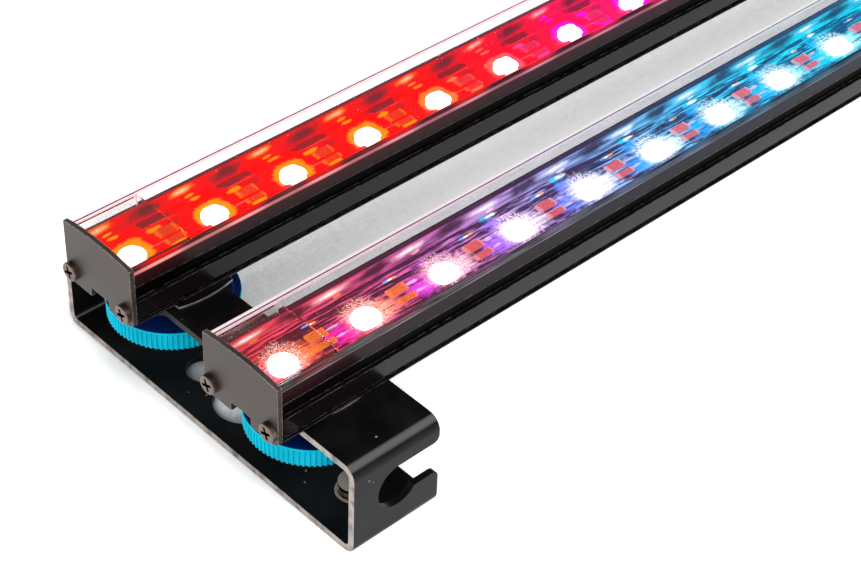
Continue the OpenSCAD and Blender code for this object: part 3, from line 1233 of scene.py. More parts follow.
@dataclass(frozen=True)
class MixedBoard(LitFinish):
    """The right bar's board: dark, with painted light in each LED's colour as streaks, specks, pools and
    glare, and painted shade between.
    """

    strength: float = 1.7
    # Painted light round each LED: pools and glare, lit pads and parts, and small painted glints in rainbow
    # colours.
    marks: tuple[Mark, ...] = (
        Mark((0.5, 0.0), (14.0, 8.5), "base", 0.85, 0.9),
        Mark((-7.0, 0.5), (9.0, 6.0), "cool", 1.0, 0.8),
        Mark((-3.0, 7.5), (5.0, 2.6), "cool", 0.9, 0.6, 0.09),
        Mark((6.0, 1.0), (9.0, 5.6), "warm", 1.0, 0.8),
        Mark((14.5, -3.6), (3.4, 0.32), "parts", 0.9),
        Mark((20.2, 3.9), (2.3, 0.75), (0.75, 0.5, 0.8), 0.6, 0.5),
        Mark((20.2, 0.2), (2.3, 0.6), (0.75, 0.5, 0.8), 0.6, 0.5),
        Mark((14.6, 8.6), (1.5, 0.45), (0.05, 0.4, 1.0), 0.9),
        Mark((17.4, 8.6), (1.6, 0.45), (1.0, 0.35, 0.02), 0.9),
        Mark((16.2, 8.6), (1.1, 0.4), (1.0, 1.0, 0.8), 0.9),
        Mark((-2.4, 10.9), (3.6, 1.2), (0.0, 0.55, 1.0), 0.9, 0.5, 0.11),
        Mark((-0.6, 11.0), (2.6, 0.7), (1.0, 0.95, 0.75), 1.0, 0.5, 0.11),
        Mark((0.8, 0.8), (9.5, 8.5), "warm", 0.75, 1.0),
        Mark((0.8, 0.8), (7.0, 6.4), (0.9, 0.93, 1.0), 0.8, 1.0, 0.12),
    )
    close: Mark = Mark((0.4, 0.4), (3.9, 3.9), "base", 1.0, 0.3)

    def wire(self, w: Surface) -> None:
        """Feeds the board's own dark colour and the painted light on it.

        Args:
            w: The material's wiring.
        """
        wobble = self.uneven(w, 520.0, 1.1)
        streaks = w.streaks(w.at, (0.06, 1, 1), 1300.0, 3, 0.65)
        dark = self.run(w, "shade")
        body = w.mix(w.remap(streaks, 0.47, 0.68), dark, self.run(w, "base"))
        body = self.marked(w, body, self.marks, wobble)
        # Painted shade streaks over the light.
        body = w.mix(w.remap(w.less(1.0, streaks), 0.5, 0.66, 0.0, 0.8), body, dark)
        # Painted glints: pale speckles in the rays round each LED, then painted glare.
        speckle = w.remap(w.noise(w.at, 2500.0, 2), 0.48, 0.56)
        spark = w.mix(0.45, self.run(w, "warm"), (1.0, 0.9, 0.9))
        body = w.mix(w.times(speckle, self.burst(w, 1.8, 3.0, 10.5)), body, spark)
        body = w.mix(w.times(self.burst(w, 0.6, 2.6, 6.6), 0.7), body, (1.0, 0.8, 0.88))
        # Painted glare: a near-white core round each LED.
        cell = self.cell(w)
        close = self.oval(w, cell["Along"], cell["Across"], self.close, wobble)
        self.glow(w, (0.012, 0.008, 0.012), w.mix(close, body, (1.0, 0.97, 0.98)))
        w.coat(roughness=0.3)
        w.bump(streaks, 0.01 * MM)


@dataclass(frozen=True)
class LitWall(LitFinish):
    """The channel's inner walls, with the LEDs' painted light, a drawn-out painted reflection of each LED
    and painted shade above.
    """

    # oval_at and oval_half place each LED's painted reflection, white is its painted highlight, dim the
    # painted shade streaks and top where painted shade begins.
    oval_at: Pair = (-2.5, 3.8)
    oval_half: Pair = (5.8, 1.8)
    top: float = 5.2 * MM
    dim: float = 0.25
    white: float = 0.4

    def wire(self, w: Surface) -> None:
        """Feeds the wall's own colour and the painted light on it.

        Args:
            w: The material's wiring.
        """
        wobble = self.uneven(w, 300.0, 0.8)
        heart = (0.7 * self.oval_half[0], 0.55 * self.oval_half[1])
        streaks = w.streaks(w.at, (0.05, 1, 1), 900.0, 3, 0.6)
        shade = self.run(w, "shade")
        body = w.mix(w.remap(streaks, 0.4, 0.65, 0.0, self.dim), self.run(w, "base"), shade)
        # Painted shade between LEDs, each LED's painted reflection with its white painted highlight, and a
        # painted pool of warm light by the board.
        marks = (
            Mark((13.5, 2.8), (8.6, 3.6), "shade", 0.95, 0.8),
            Mark(self.oval_at, self.oval_half, "image", 1.0, 0.7),
            Mark(self.oval_at, heart, (1.0, 0.95, 0.9), self.white, 0.95),
            Mark((0.0, 0.9), (2.0, 0.7), "warm", 0.9),
        )
        body = self.marked(w, body, marks, wobble, upward=True)
        # Painted shade above the top of the lit band.
        body = w.mix(w.remap(self.over_board(w), self.top, self.top + 0.5 * MM), body, shade)
        self.glow(w, (0.03, 0.02, 0.02), body)
        w.coat(roughness=0.25, metallic=0.3)
        w.bump(w.lines(), 0.006 * MM)


@dataclass(frozen=True)
class LitParts(LitFinish):
    """The resistors on a board: tinned ends and a body, each in the colour of the painted light on it."""

    strength: float = 1.1

    def wire(self, w: Surface) -> None:
        """Feeds the parts' own colour, the painted light on them and a fine skin.

        Args:
            w: The material's wiring.
        """
        off = w.size(w.less(self.cell(w)["After"], self.lights.pitch / 2))
        tin = w.remap(off, 2.3 * MM, 2.5 * MM)
        grain = w.grain(2600.0)["Height"]
        colour = self.run(w, "parts")
        body = w.mix(w.remap(grain, 0.3, 0.65), w.mix(0.45, colour, (0.25, 0.01, 0.0)), colour)
        self.glow(w, (0.08, 0.03, 0.03), w.mix(tin, body, w.mix(0.35, colour, self.run(w, "warm"))))
        w.coat(roughness=w.remap(tin, 0.0, 1.0, 0.5, 0.25))
        w.bump(grain, 0.01 * MM)


@dataclass(frozen=True)
class Glowing(Finish):
    """The lit lens or package of an LED."""

    colour: Colour = (1.0, 0.9, 0.85)
    strength: float = 3.0

    def wire(self, w: Surface) -> None:
        """Feeds colour, roughness and light.

        Args:
            w: The material's wiring.
        """
        grain = w.remap(w.grain(2400.0)["Height"], 0.3, 0.7)
        body = w.mix(grain, self.colour, (1.0, 1.0, 1.0))
        w.coat(colour=body, light=body, strength=self.strength, roughness=0.2)


@dataclass(frozen=True)
class Paper(Finish):
    """The pale table that the light stands on.

    Attributes:
        colour: Its own colour.
        lift: How far open places are lifted to white.
        reach: How far off an object still shades it.
        open_side: The way that the light comes from.
    """

    colour: Colour = (0.88, 0.88, 0.88)
    lift: float = 0.8
    reach: float = 0.12
    open_side: tuple[float, float, float] = (0.0, -0.8, 0.6)

    def wire(self, w: Surface) -> None:
        """Feeds colour with painted shade near the object and roughness, and lifts the open table to white
        where the camera meets it.

        Args:
            w: The material's wiring.
        """
        side = w.add("CombineXYZ", dict(enumerate(self.open_side))).outputs[0]
        sky = w.add("AmbientOcclusion", {"Distance": self.reach, "Normal": side}, samples=16).outputs["AO"]
        body = w.mix(w.noise(w.at, 6.0, 2), self.colour, dim(self.colour, 0.99))
        # Painted shade: the table's colour darkens towards dark grey where occlusion, sought towards
        # open_side, finds the object near.
        body = w.mix(w.remap(sky, 0.0, 0.8), (0.1, 0.1, 0.1), body)
        path = w.add("LightPath").outputs
        seen = w.maths("MAXIMUM", path["Is Camera Ray"], path["Is Glossy Ray"])
        seen = w.maths("MAXIMUM", seen, path["Is Transmission Ray"])
        # The lift to white is held back where the table is enclosed, so the painted shade there stays.
        lift = w.times(seen, w.remap(sky, 0.45, 0.66, 0.0, self.lift))
        w.coat(colour=body, roughness=0.8, shine=0.2, light=(1.0, 1.0, 1.0), strength=lift)


# ---------------------------------------------------------------- the object


@dataclass
class Shop:
    """What every assembly needs: the shared effects and a count of finished pieces."""

    fx: Effects
    count: int = 0

    def finish(self, piece: Piece, body: str, slot: str, finishes: Sequence[Finish], *nodes: str) -> None:
        """Dresses a piece, sets it on its body and hides the CAD nodes that it stands for.

        Args:
            piece: The finished mesh.
            body: The body that it moves with.
            slot: The name of a material slot; not used.
            finishes: Its materials, in the order of its slots.
            nodes: The CAD nodes that it replaces.
        """
        piece.data.materials.clear()
        for finish in finishes:
            piece.data.materials.append(finish.material(self.fx))
        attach(piece, body)
        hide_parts(*nodes)
        self.count += 1
        log.info("%s: %d faces on %s", piece.name, len(piece.data.polygons), body)


def paint(piece: Piece, slot: int, test: Test) -> None:
    """Gives the faces that pass the test another of the piece's materials.

    Args:
        piece: The piece to paint.
        slot: The number of the material.
        test: Takes a face's middle and normal.
    """
    for face in piece.data.polygons:
        if test(face.center, face.normal):
            face.material_index = slot


@dataclass
class Assembly:
    """Pieces whose nodes share the first part of their names, with a frame of their own."""

    shop: Shop

    def place(self, prefix: str, key: str, body: str) -> None:
        """Finds where the assembly lies.

        Args:
            prefix: The first part of its nodes' names.
            key: The node that its frame is found by.
            body: The body that most of its pieces move with.
        """
        self.prefix = prefix
        self.body = self.node(body)
        self.low, self.high = (Vector(corner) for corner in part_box(self.node(key)))
        self.middle = (self.low + self.high) / 2
        self.origin = Vector((0.0, 0.0, 0.0))

    def node(self, piece: str) -> str:
        """The name of one of its nodes."""
        return f"{self.prefix}_{piece}"

    def settle(self, piece: Piece) -> Piece:
        """Moves a piece from the assembly's own frame to its place in the model."""
        piece.data.transform(Matrix.Translation(self.origin))
        return piece

    def finish(
        self, piece: Piece, slot: str, finishes: Sequence[Finish], node: str, body: str = ""
    ) -> None:
        """Dresses a piece that stands for one node, on the assembly's body or another."""
        self.shop.finish(piece, body or self.body, slot, finishes, self.node(node))


RED_RUNS: dict[str, Stops] = {
    "base": (
        (0.0, (1.0, 0.0, 0.0)), (0.22, (1.0, 0.0, 0.0)), (0.28, (1.0, 0.0, 0.03)), (0.33, (1.0, 0.0, 0.1)),
        (0.42, (1.0, 0.0, 0.3)), (0.6, (0.9, 0.0, 0.1)), (1.0, (1.0, 0.0, 0.0)),
    ),
    "shade": (
        (0.0, (0.12, 0.02, 0.025)), (0.1, (0.16, 0.015, 0.02)), (0.3, (0.12, 0.01, 0.03)),
        (0.45, (0.2, 0.0, 0.06)), (1.0, (0.1, 0.0, 0.01)),
    ),
    "warm": (
        (0.0, (1.0, 0.3, 0.0)), (0.18, (1.0, 0.26, 0.0)), (0.26, (1.0, 0.1, 0.1)), (0.3, (0.95, 0.0, 0.6)),
        (0.4, (0.8, 0.0, 1.0)), (0.6, (1.0, 0.1, 0.3)), (1.0, (1.0, 0.25, 0.0)),
    ),
    "parts": (
        (0.0, (1.0, 0.05, 0.0)), (0.2, (1.0, 0.03, 0.0)), (0.3, (1.0, 0.01, 0.1)),
        (0.45, (1.0, 0.02, 0.4)), (1.0, (1.0, 0.05, 0.0)),
    ),
    "image": (
        (0.0, (1.0, 0.25, 0.0)), (0.2, (1.0, 0.18, 0.0)), (0.3, (1.0, 0.1, 0.2)),
        (0.45, (1.0, 0.1, 0.7)), (1.0, (1.0, 0.25, 0.0)),
    ),
    "band": (
        (0.0, (1.0, 0.26, 0.22)), (0.1, (0.9, 0.2, 0.22)), (0.25, (0.5, 0.1, 0.18)),
        (0.5, (0.3, 0.06, 0.14)), (1.0, (0.6, 0.12, 0.15)),
    ),
}
MIXED_RUNS: dict[str, Stops] = {
    "base": (
        (0.0, (1.0, 0.05, 0.08)), (0.05, (0.85, 0.08, 0.2)), (0.1, (0.6, 0.1, 0.4)),
        (0.16, (0.5, 0.3, 0.75)), (0.21, (0.3, 0.45, 0.95)), (0.3, (0.05, 0.6, 1.0)),
        (0.4, (0.0, 0.7, 0.95)), (0.55, (0.0, 0.6, 0.85)), (1.0, (0.1, 0.25, 0.8)),
    ),
    "shade": (
        (0.0, (0.09, 0.006, 0.015)), (0.08, (0.045, 0.008, 0.025)), (0.2, (0.03, 0.015, 0.06)),
        (0.35, (0.005, 0.04, 0.12)), (0.5, (0.0, 0.08, 0.2)), (1.0, (0.03, 0.03, 0.14)),
    ),
    "warm": (
        (0.0, (1.0, 0.16, 0.01)), (0.06, (1.0, 0.2, 0.08)), (0.11, (0.95, 0.4, 0.5)),
        (0.16, (0.85, 0.6, 0.85)), (0.25, (0.65, 0.8, 1.0)), (0.4, (0.25, 0.8, 1.0)),
        (1.0, (0.3, 0.6, 0.9)),
    ),
    "cool": (
        (0.0, (0.8, 0.0, 0.25)), (0.06, (0.75, 0.02, 0.4)), (0.11, (0.5, 0.05, 0.7)),
        (0.16, (0.2, 0.15, 0.9)), (0.25, (0.0, 0.3, 0.95)), (0.4, (0.0, 0.5, 0.9)), (1.0, (0.0, 0.3, 0.9)),
    ),
    "parts": (
        (0.0, (1.0, 0.2, 0.01)), (0.08, (1.0, 0.18, 0.05)), (0.14, (0.8, 0.12, 0.15)),
        (0.3, (0.75, 0.2, 0.3)), (1.0, (0.7, 0.25, 0.4)),
    ),
    "image": (
        (0.0, (0.85, 0.3, 0.25)), (0.08, (0.9, 0.55, 0.6)), (0.16, (0.7, 0.6, 0.9)),
        (0.25, (0.45, 0.75, 1.0)), (0.4, (0.05, 0.65, 0.95)), (1.0, (0.3, 0.6, 0.95)),
    ),
    "band": (
        (0.0, (0.5, 0.48, 0.49)), (0.1, (0.5, 0.48, 0.55)), (0.2, (0.3, 0.4, 0.6)),
        (0.4, (0.05, 0.35, 0.55)), (1.0, (0.2, 0.3, 0.5)),
    ),
}

CLEAR = Clear("clear_acrylic")
CLEAR_CUT = Clear("clear_cut", lines=0.0, alpha=0.1)
BLACK_BAR = Drawn("black_anodised")
# Painted shade: a near-black, dull finish for the channel's side recess and foot grooves.
SIDE_RECESS_SHADE = Drawn("side_recess_shade", colour=(0.001, 0.0006, 0.0006), roughness=0.5, shine=0.03)
# The plates' heavy tan edge colour is chiefly a painted highlight along their edges.
BAR_END = Coated(
    "plate_coat", colour=(0.045, 0.033, 0.028), wear_and_highlight_colour=(0.6, 0.46, 0.36), dusty=(0.5, 0.45, 0.4),
    roughness=0.42, grain=3200, wear_and_highlight=1.5, dust=0.04, metallic=0.05, shine=0.3,
)
BRACKET_COAT = Coated(
    "bracket_coat", colour=(0.004, 0.0035, 0.004), wear_and_highlight=0.3, dust=0.08, shine=0.16, bend_highlight=1.0
)
# The pale edge colour paints the highlight round the bushes' collar rims.
BUSH_COAT = Coated(
    "bush_coat", colour=(0.36, 0.28, 0.21), wear_and_highlight_colour=(0.9, 0.78, 0.66), roughness=0.3, dust=0.03, wear_and_highlight=1.0,
    metallic=0.3,
)
CUT_EDGE = SheetEdge("sheet_edge")
SCREW_STEEL = Metal("screw_steel", colour=(0.17, 0.13, 0.11), roughness=0.36)
# Painted shade: near black in the screws' cross recesses and the bushes' bores.
RECESS_SHADE = Metal("recess_shade", colour=(0.008, 0.006, 0.006), roughness=0.6)
BRIGHT_STEEL = Metal("plated_steel", colour=(0.62, 0.62, 0.64), roughness=0.26)
# Painted shade: upper is the dark blue of the wheels' tops where the bars above shade them.
WHEEL_PLASTIC = Moulded(
    "cyan_plastic", colour=(0.0, 0.72, 0.95), pale=(0.0, 0.8, 1.0), roughness=0.5, wear_and_highlight=0.15, shine=0.1,
    upper=(0.0, 0.02, 0.15),
)
NYLON = Moulded("nylon", colour=(0.72, 0.71, 0.67), pale=(0.85, 0.85, 0.82))
SOCKET_PLASTIC = Moulded("socket_plastic", colour=(0.02, 0.02, 0.022))
WIRE_SKIN = Moulded("wire_skin", colour=(0.5, 0.02, 0.02), pale=(0.6, 0.1, 0.1), roughness=0.35)


@dataclass
class LightBar(Assembly):
    """One light bar: extruded channel, board with its LEDs, clear cover and end plates.

    Its section sizes are from the bar's underside and centre line.
    """

    side: Side
    first_led: float
    leds: int = 20
    pitch: float = 28.9 * MM
    half: float = 14.3 * MM
    wall: float = 12.0 * MM
    lip: float = 12.9 * MM
    block: float = 7.9 * MM
    rib: float = 12.8 * MM
    ledge: float = 13.3 * MM
    lip_top: float = 14.5 * MM
    foot: float = 0.5 * MM
    foot_top: float = 2.2 * MM
    foot_depth: float = 1.0 * MM
    mouth: float = 4.0 * MM
    chamber: float = 6.5 * MM
    slot_lip: float = 1.8 * MM
    slot_top: float = 5.6 * MM
    seat: float = 7.0 * MM
    board_t: float = 1.5 * MM
    cover_t: float = 1.3 * MM
    cover_top: float = 20.8 * MM
    crown: float = 94.35 * MM
    plate_half: float = 15.0 * MM
    plate_top: float = 21.2 * MM
    plate_t: float = 1.5 * MM
    screw_y: float = 12.0 * MM
    screw_z: float = 4.3 * MM
    insert: float = 21.0 * MM
    socket_z: float = 13.2 * MM
    clearance: float = 0.1 * MM

    def __post_init__(self) -> None:
        """Finds where the bar lies, and where its LEDs are."""
        self.place(self.side.value, "near_plate", "bar")
        self.origin = Vector((self.low.x, self.middle.y, self.low.z))
        self.centre, self.base = self.middle.y, self.low.z
        self.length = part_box(self.node("far_plate"))[1][0] - self.low.x
        self.span = (self.plate_t, self.length - self.plate_t)
        self.board_top = self.seat + self.board_t
        self.left = self.side is Side.LEFT
        self.lights = LightMap(
            start=self.low.x + self.first_led,
            pitch=self.pitch,
            centre=self.centre,
            board_top=self.base + self.board_top,
            far=self.low.x + self.length,
            runs=RED_RUNS if self.left else MIXED_RUNS,
        )

    def groove(self, body: Piece, first: Pair, second: Pair) -> None:
        """Cuts a block through the whole length of the channel, between two corners across and up."""
        start, end = self.span
        cut(body, box("groove", (start - OVER, *first), (end + OVER, *second)))

    def build_channel(self) -> None:
        """Cuts the extrusion from a block: trough, slot, side recess and foot grooves."""
        (start, end), top = self.span, self.lip_top + OVER
        piece = box(self.node("extrusion"), (start, -self.half, 0), (end, self.half, self.lip_top))
        self.groove(piece, (-self.wall, self.seat), (self.wall, top))
        self.groove(piece, (-self.mouth, -OVER), (self.mouth, self.slot_lip + OVER))
        self.groove(piece, (-self.chamber, self.slot_lip), (self.chamber, self.slot_top))
        foot = self.half - self.foot_depth
        for s in (-1, 1):
            outer = s * (self.half + OVER)
            self.groove(piece, (s * self.lip, self.block), (outer, self.rib))
            self.groove(piece, (s * self.lip, self.ledge), (outer, top))
            self.groove(piece, (s * foot, self.foot), (outer, self.foot_top))
        soften(piece, 0.14 * MM)
        self.settle(piece)
        trough = self.base + self.seat - 0.3 * MM
        inner, outer = self.lip - 0.2 * MM, self.half - 0.2 * MM
        self.finish(piece, "black_aluminium", (BLACK_BAR, self.wall_finish(), SIDE_RECESS_SHADE), "channel")
        # Painted light: the inner walls above the trough take the lit wall finish.
        paint(piece, 1, lambda place, normal: place.z > trough and self.off(place) < inner)
        # Painted shade: the side recess and foot grooves take the near-black finish.
        flank = inner + 0.1 * MM
        paint(piece, 2, lambda place, normal: abs(normal.y) > 0.9 and flank < self.off(place) < outer)

    def off(self, place: Vector) -> float:
        """How far a place is from the bar's middle plane."""
        return abs(place.y - self.centre)

    def wall_finish(self) -> Finish:
        """The finish of the channel's inner walls, with painted light and reflections.

        Returns:
            The finish.
        """
        walls = LitWall(f"lit_wall_{self.prefix}", self.lights)
        if self.left:
            return walls
        # The right bar's painted reflections are longer, lower, brighter and whiter.
        return replace(walls, oval_at=(-2.5, 2.8), oval_half=(8.5, 1.6), top=4.4 * MM, dim=0.8, white=0.95)

    def build_board(self) -> None:
        """Models the circuit board with its rounded edge."""
        piece = box(self.node("circuit_board"), *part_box(self.node("led_board")))
        soften(piece, 0.15 * MM)
        kind = RedLitBoard if self.left else MixedBoard
        self.finish(piece, "board", (kind(f"lit_board_{self.prefix}", self.lights),), "led_board")

    def build_leds(self) -> None:
        """Models one LED, a round body with a domed lens, and copies it along the board."""
        x, top = self.first_led, self.board_top
        body = rod("led_body", 4.0 * MM, (x, 0, top), 1.6 * MM, Way.Z, 48)
        sink(body, lambda place, normal: normal.z > 0.9, (0.7 * MM, 0), (0.25 * MM, -0.25 * MM))
        soften(body, 0.12 * MM)
        centre = (x, 0, top + 1.6 * MM)
        bpy.ops.mesh.primitive_uv_sphere_add(segments=24, ring_count=16, radius=2.58 * MM, location=centre)
        lens = added("led_lens")
        divide(lens, (x, 0, top + 1.2 * MM), (0, 0, 1), drop=True)
        shade(lens)
        piece = self.settle(row(self.node("led_row"), join("led", body, lens), self.leds, self.pitch))
        glow = Glowing(f"led_glow_{self.prefix}", (1.0, 0.9, 0.8) if self.left else (0.94, 0.97, 1.0))
        self.finish(piece, "red_led" if self.left else "white_led", (glow,), "leds")

    def resistor(self, low_y: float, high_y: float) -> Piece:
        """Models one resistor on the board, halfway between the first two LEDs.

        Args:
            low_y: Where it starts across the bar.
            high_y: Where it ends across the bar.

        Returns:
            The resistor, with raised tinned ends.
        """
        x, top, long = self.first_led + self.pitch / 2, self.board_top, 3.2 * MM
        piece = box("resistor", (x - long, low_y, top), (x + long, high_y, top + 0.8 * MM))
        for s in (-1, 1):
            divide(piece, (x + s * 2.4 * MM, 0, 0), (1, 0, 0))
        sink(piece, lambda place, normal: normal.z > 0.9 and near(place.x, x), (0.12 * MM, -0.1 * MM))
        soften(piece, 0.1 * MM)
        return piece

    def build_parts(self) -> None:
        """Models the wide and the narrow resistor of one space and copies them along the board."""
        first = join("part_set", self.resistor(2.2 * MM, 5.2 * MM), self.resistor(-1.4 * MM, 0.4 * MM))
        piece = self.settle(row(self.node("part_row"), first, self.leds - 1, self.pitch))
        lit = LitParts(f"lit_parts_{self.prefix}", self.lights)
        self.finish(piece, "board_chips", (lit,), "board_parts")

    def build_cover(self) -> None:
        """Models the crowned clear cover, with the U-shaped stiffener inside each of its ends."""
        start, end = self.span
        half, top = self.half - self.clearance, self.cover_top
        shell = crowned(self.node("crowned_cover"), half, self.ledge, top, 1.2 * MM, self.span, self.crown)
        inside = (half - self.cover_t, self.ledge - OVER, top - self.cover_t)
        cut(shell, crowned("cover_hollow", *inside, 0.6 * MM, (start - OVER, end + OVER), self.crown))
        shade(shell)
        cut_end = ClearEdge(f"clear_end_{self.prefix}", self.lights, strength=0.95 if self.left else 0.6)
        lit_side = ClearSide(f"clear_side_{self.prefix}", self.lights)
        if not self.left:
            lit_side = replace(lit_side, low=9.05 * MM, high=9.45 * MM, above=0.3, seen=0.12, core=0.25)
        self.finish(self.settle(shell), "clear_acrylic", (CLEAR, cut_end, lit_side), "clear_cover")
        edge = half - self.cover_t
        left, right = self.centre - edge, self.centre + edge
        # Painted light: the cut ends, and the shoulder and its underside on the +Y side, glow as lit edges.
        paint(shell, 1, lambda place, way: abs(way.x) > 0.9)
        paint(shell, 1, lambda place, way: min(way.y, way.z) > 0.1 and place.y > right)
        paint(shell, 1, lambda place, way: max(way.y, way.z) < -0.1 and place.y > right - 1 * MM)
        # The outer side facing -Y takes the opaque side finish with its painted shade and painted light.
        paint(shell, 2, lambda place, way: way.y < -0.15 and place.y < left)
        for which, low in ((End.NEAR, start), (End.FAR, end - self.insert)):
            self.build_stiffener(which, low, edge - self.clearance, (CLEAR, cut_end, CLEAR_CUT))

    def build_stiffener(self, which: End, low: float, half: float, finishes: Sequence[Finish]) -> None:
        """Models the U-shaped stiffener inside one end of the cover.

        Args:
            which: The end.
            low: Where it starts along X.
            half: Half its width.
            finishes: The finishes of its faces, its lit leg's end and its other ends.
        """
        top, wall, high = self.cover_top - self.cover_t - self.clearance, 1.2 * MM, low + self.insert
        name, foot = self.node(f"{which.value}_stiffener"), self.lip_top + 0.05 * MM
        u = crowned(name, half, foot, top, 0.6 * MM, (low, high), self.crown)
        inside = (half - wall, self.ledge, top - wall)
        cut(u, crowned("stiffener_hollow", *inside, 0.5 * MM, (low - OVER, high + OVER), self.crown))
        leg = half - 3 * MM
        divide(u, (0, leg, 0), (0, 1, 0))
        shade(u)
        self.finish(self.settle(u), "clear_acrylic", finishes, f"{which.value}_insert")
        paint(u, 2, lambda place, way: abs(way.x) > 0.9)
        # Painted light: the end of the leg on the +Y side glows as a lit edge.
        paint(u, 1, lambda place, way: abs(way.x) > 0.9 and place.y > self.centre + leg)

    def build_plates(self) -> None:
        """Models the two end plates, with slot notch, screw holes and a hole for the socket."""
        for which, low in ((End.NEAR, 0.0), (End.FAR, self.length - self.plate_t)):
            name, span = self.node(f"{which.value}_end_plate"), (low, low + self.plate_t)
            plate = crowned(name, self.plate_half, 0, self.plate_top, 2.8 * MM, span, self.crown)
            round_edges(plate, 2 * MM, lambda place, way: abs(way.x) > 0.9 and place.z < 0.1 * MM)
            back, ahead = low - OVER, low + self.plate_t + OVER
            cut(plate, box("notch", (back, -self.mouth, -OVER), (ahead, self.mouth, 3 * MM)))
            for s in (-1, 1):
                drill(plate, 1.6 * MM, (back, s * self.screw_y, self.screw_z), 4 * MM, Way.X, 32)
            if which is End.FAR:
                drill(plate, 3.55 * MM, (back, 0, self.socket_z), 4 * MM, Way.X, 48)
            soften(plate, 0.28 * MM)
            self.finish(self.settle(plate), "plate_coat", (BAR_END,), f"{which.value}_plate")

    def build_screws(self) -> None:
        """Models one pan-head screw and copies it to the four corners."""
        rise = 1.78 * MM
        head = rod("pan_screw", 2.9 * MM, (-rise, 0, 0), rise, Way.X, 48)
        round_edges(head, 0.38 * MM, lambda place, way: place.x < -1.7 * MM, segments=3)
        for turn in (-0.35, -0.35 + math.pi / 2):
            arm = box("recess_arm", (-2.8 * MM, -1.9 * MM, -0.45 * MM), (-0.7 * MM, 1.9 * MM, 0.45 * MM))
            arm.data.transform(Matrix.Rotation(turn, 4, "X"))
            cut(head, arm)
        shank = rod("screw_shank", 1.45 * MM, (0, 0, 0), 9 * MM, Way.X, 24)
        soften(head, 0.05 * MM)
        shade(shank)
        screw = join("pan_screw", head, shank)
        copies = []
        for s in (-1, 1):
            for x, turn in ((0, 0), (self.length, math.pi)):
                copies.append(copy_to(screw, (x, s * self.screw_y, self.screw_z), turn))
        bpy.data.objects.remove(screw)
        piece = self.settle(join(self.node("pan_screws"), *copies))
        self.finish(piece, "dark_steel", (SCREW_STEEL, RECESS_SHADE), "plate_screws")
        # Painted shade in the cross recesses.
        paint(piece, 1, self.in_recess)

    def in_recess(self, place: Vector, normal: Vector) -> bool:
        """True for the faces of the cross recesses in the screw heads.

        Args:
            place: The face's middle.
            normal: The face's normal.

        Returns:
            True in a recess.
        """
        off = math.hypot(self.off(place) - self.screw_y, place.z - self.base - self.screw_z)
        out = abs(place.x - self.low.x - self.length / 2) - self.length / 2
        return off < 2.1 * MM and 0.3 * MM < out < 1.7 * MM

    def build(self) -> None:
        """Builds the whole bar."""
        self.build_channel()
        self.build_board()
        self.build_leds()
        self.build_parts()
        self.build_cover()
        self.build_plates()
        self.build_screws()


@dataclass
class InletSet(Assembly):
    """The power socket in a bar's far plate, with its nut and the two leads to the board."""

    bar: LightBar
    radius: float = 3.5 * MM
    flange_r: float = 5.2 * MM
    flange_t: float = 2.0 * MM
    depth: float = 10.0 * MM
    plug_r: float = 2.8 * MM
    plug_depth: float = 9.0 * MM
    pin_r: float = 1.05 * MM
    lead_r: float = 0.6 * MM
    lead_y: float = 1.6 * MM
    lead_bend: float = 1.6 * MM

    def __post_init__(self) -> None:
        """Finds where the socket lies."""
        self.place(self.bar.prefix, "inlet_nut", "bar")
        self.origin, self.end, self.height = self.bar.origin, self.bar.length, self.bar.socket_z

    def build_socket(self) -> None:
        """Models the socket: a stepped round body, its mouth and the pin inside."""
        end, height = self.end, self.height
        body = rod("socket_body", self.radius, (end - self.depth, 0, height), self.depth, Way.X, 48)
        flange = rod("socket_flange", self.flange_r, (end, 0, height), self.flange_t, Way.X, 64)
        round_edges(flange, 0.5 * MM, lambda place, way: place.x > end + 1.5 * MM, segments=3)
        mouth = end + self.flange_t - self.plug_depth
        for part, edge in ((body, 0.1 * MM), (flange, 0.12 * MM)):
            drill(part, self.plug_r, (mouth, 0, height), 12 * MM, Way.X, 48)
            soften(part, edge)
        pin = rod("socket_pin", self.pin_r, (mouth - 0.05 * MM, 0, height), 8 * MM, Way.X, 24)
        round_edges(pin, 0.4 * MM, lambda place, way: place.x > mouth + 7 * MM, segments=3)
        shade(pin)
        piece = self.settle(join(self.node("dc_socket"), body, flange, pin))
        self.finish(piece, "black_plastic", (SOCKET_PLASTIC, BRIGHT_STEEL), "inlet")
        tall, reach = self.bar.base + height, self.pin_r + 0.15 * MM
        paint(piece, 1, lambda place, normal: math.hypot(self.bar.off(place), place.z - tall) < reach)

    def build_nut(self) -> None:
        """Models the thin hexagonal nut behind the plate."""
        foot = (self.low.x, self.middle.y, self.middle.z)
        size = self.high - self.low
        nut = rod(self.node("socket_nut"), size.y / 2, foot, size.x, Way.X, 6)
        drill(nut, self.radius + 0.05 * MM, (foot[0] - OVER, *foot[1:]), 5 * MM, Way.X, 48)
        soften(nut, 0.2 * MM)
        self.finish(nut, "bright_steel", (BRIGHT_STEEL,), "inlet_nut")

    def build_leads(self) -> None:
        """Models the two short leads, bent down from the socket to the board."""
        top, bend = self.bar.board_top, self.height - self.lead_bend
        corner = self.end - self.depth - self.lead_bend
        leads = []
        for y in (-self.lead_y, self.lead_y):
            lead = rod("lead", self.lead_r, (corner, y, top), bend - top, Way.Z, 20)
            with chosen_faces(lead, lambda place, normal: normal.z > 0.9):
                centre = (corner + self.lead_bend, y, bend)
                bpy.ops.mesh.spin(steps=8, angle=math.pi / 2, center=centre, axis=(0, 1, 0))
            shade(lead, 60)
            leads.append(lead)
        piece = self.settle(join(self.node("socket_leads"), *leads))
        self.finish(piece, "lead_wire", (WIRE_SKIN,), "leads")

    def build(self) -> None:
        """Builds the socket, its nut and its leads."""
        self.build_socket()
        self.build_nut()
        self.build_leads()


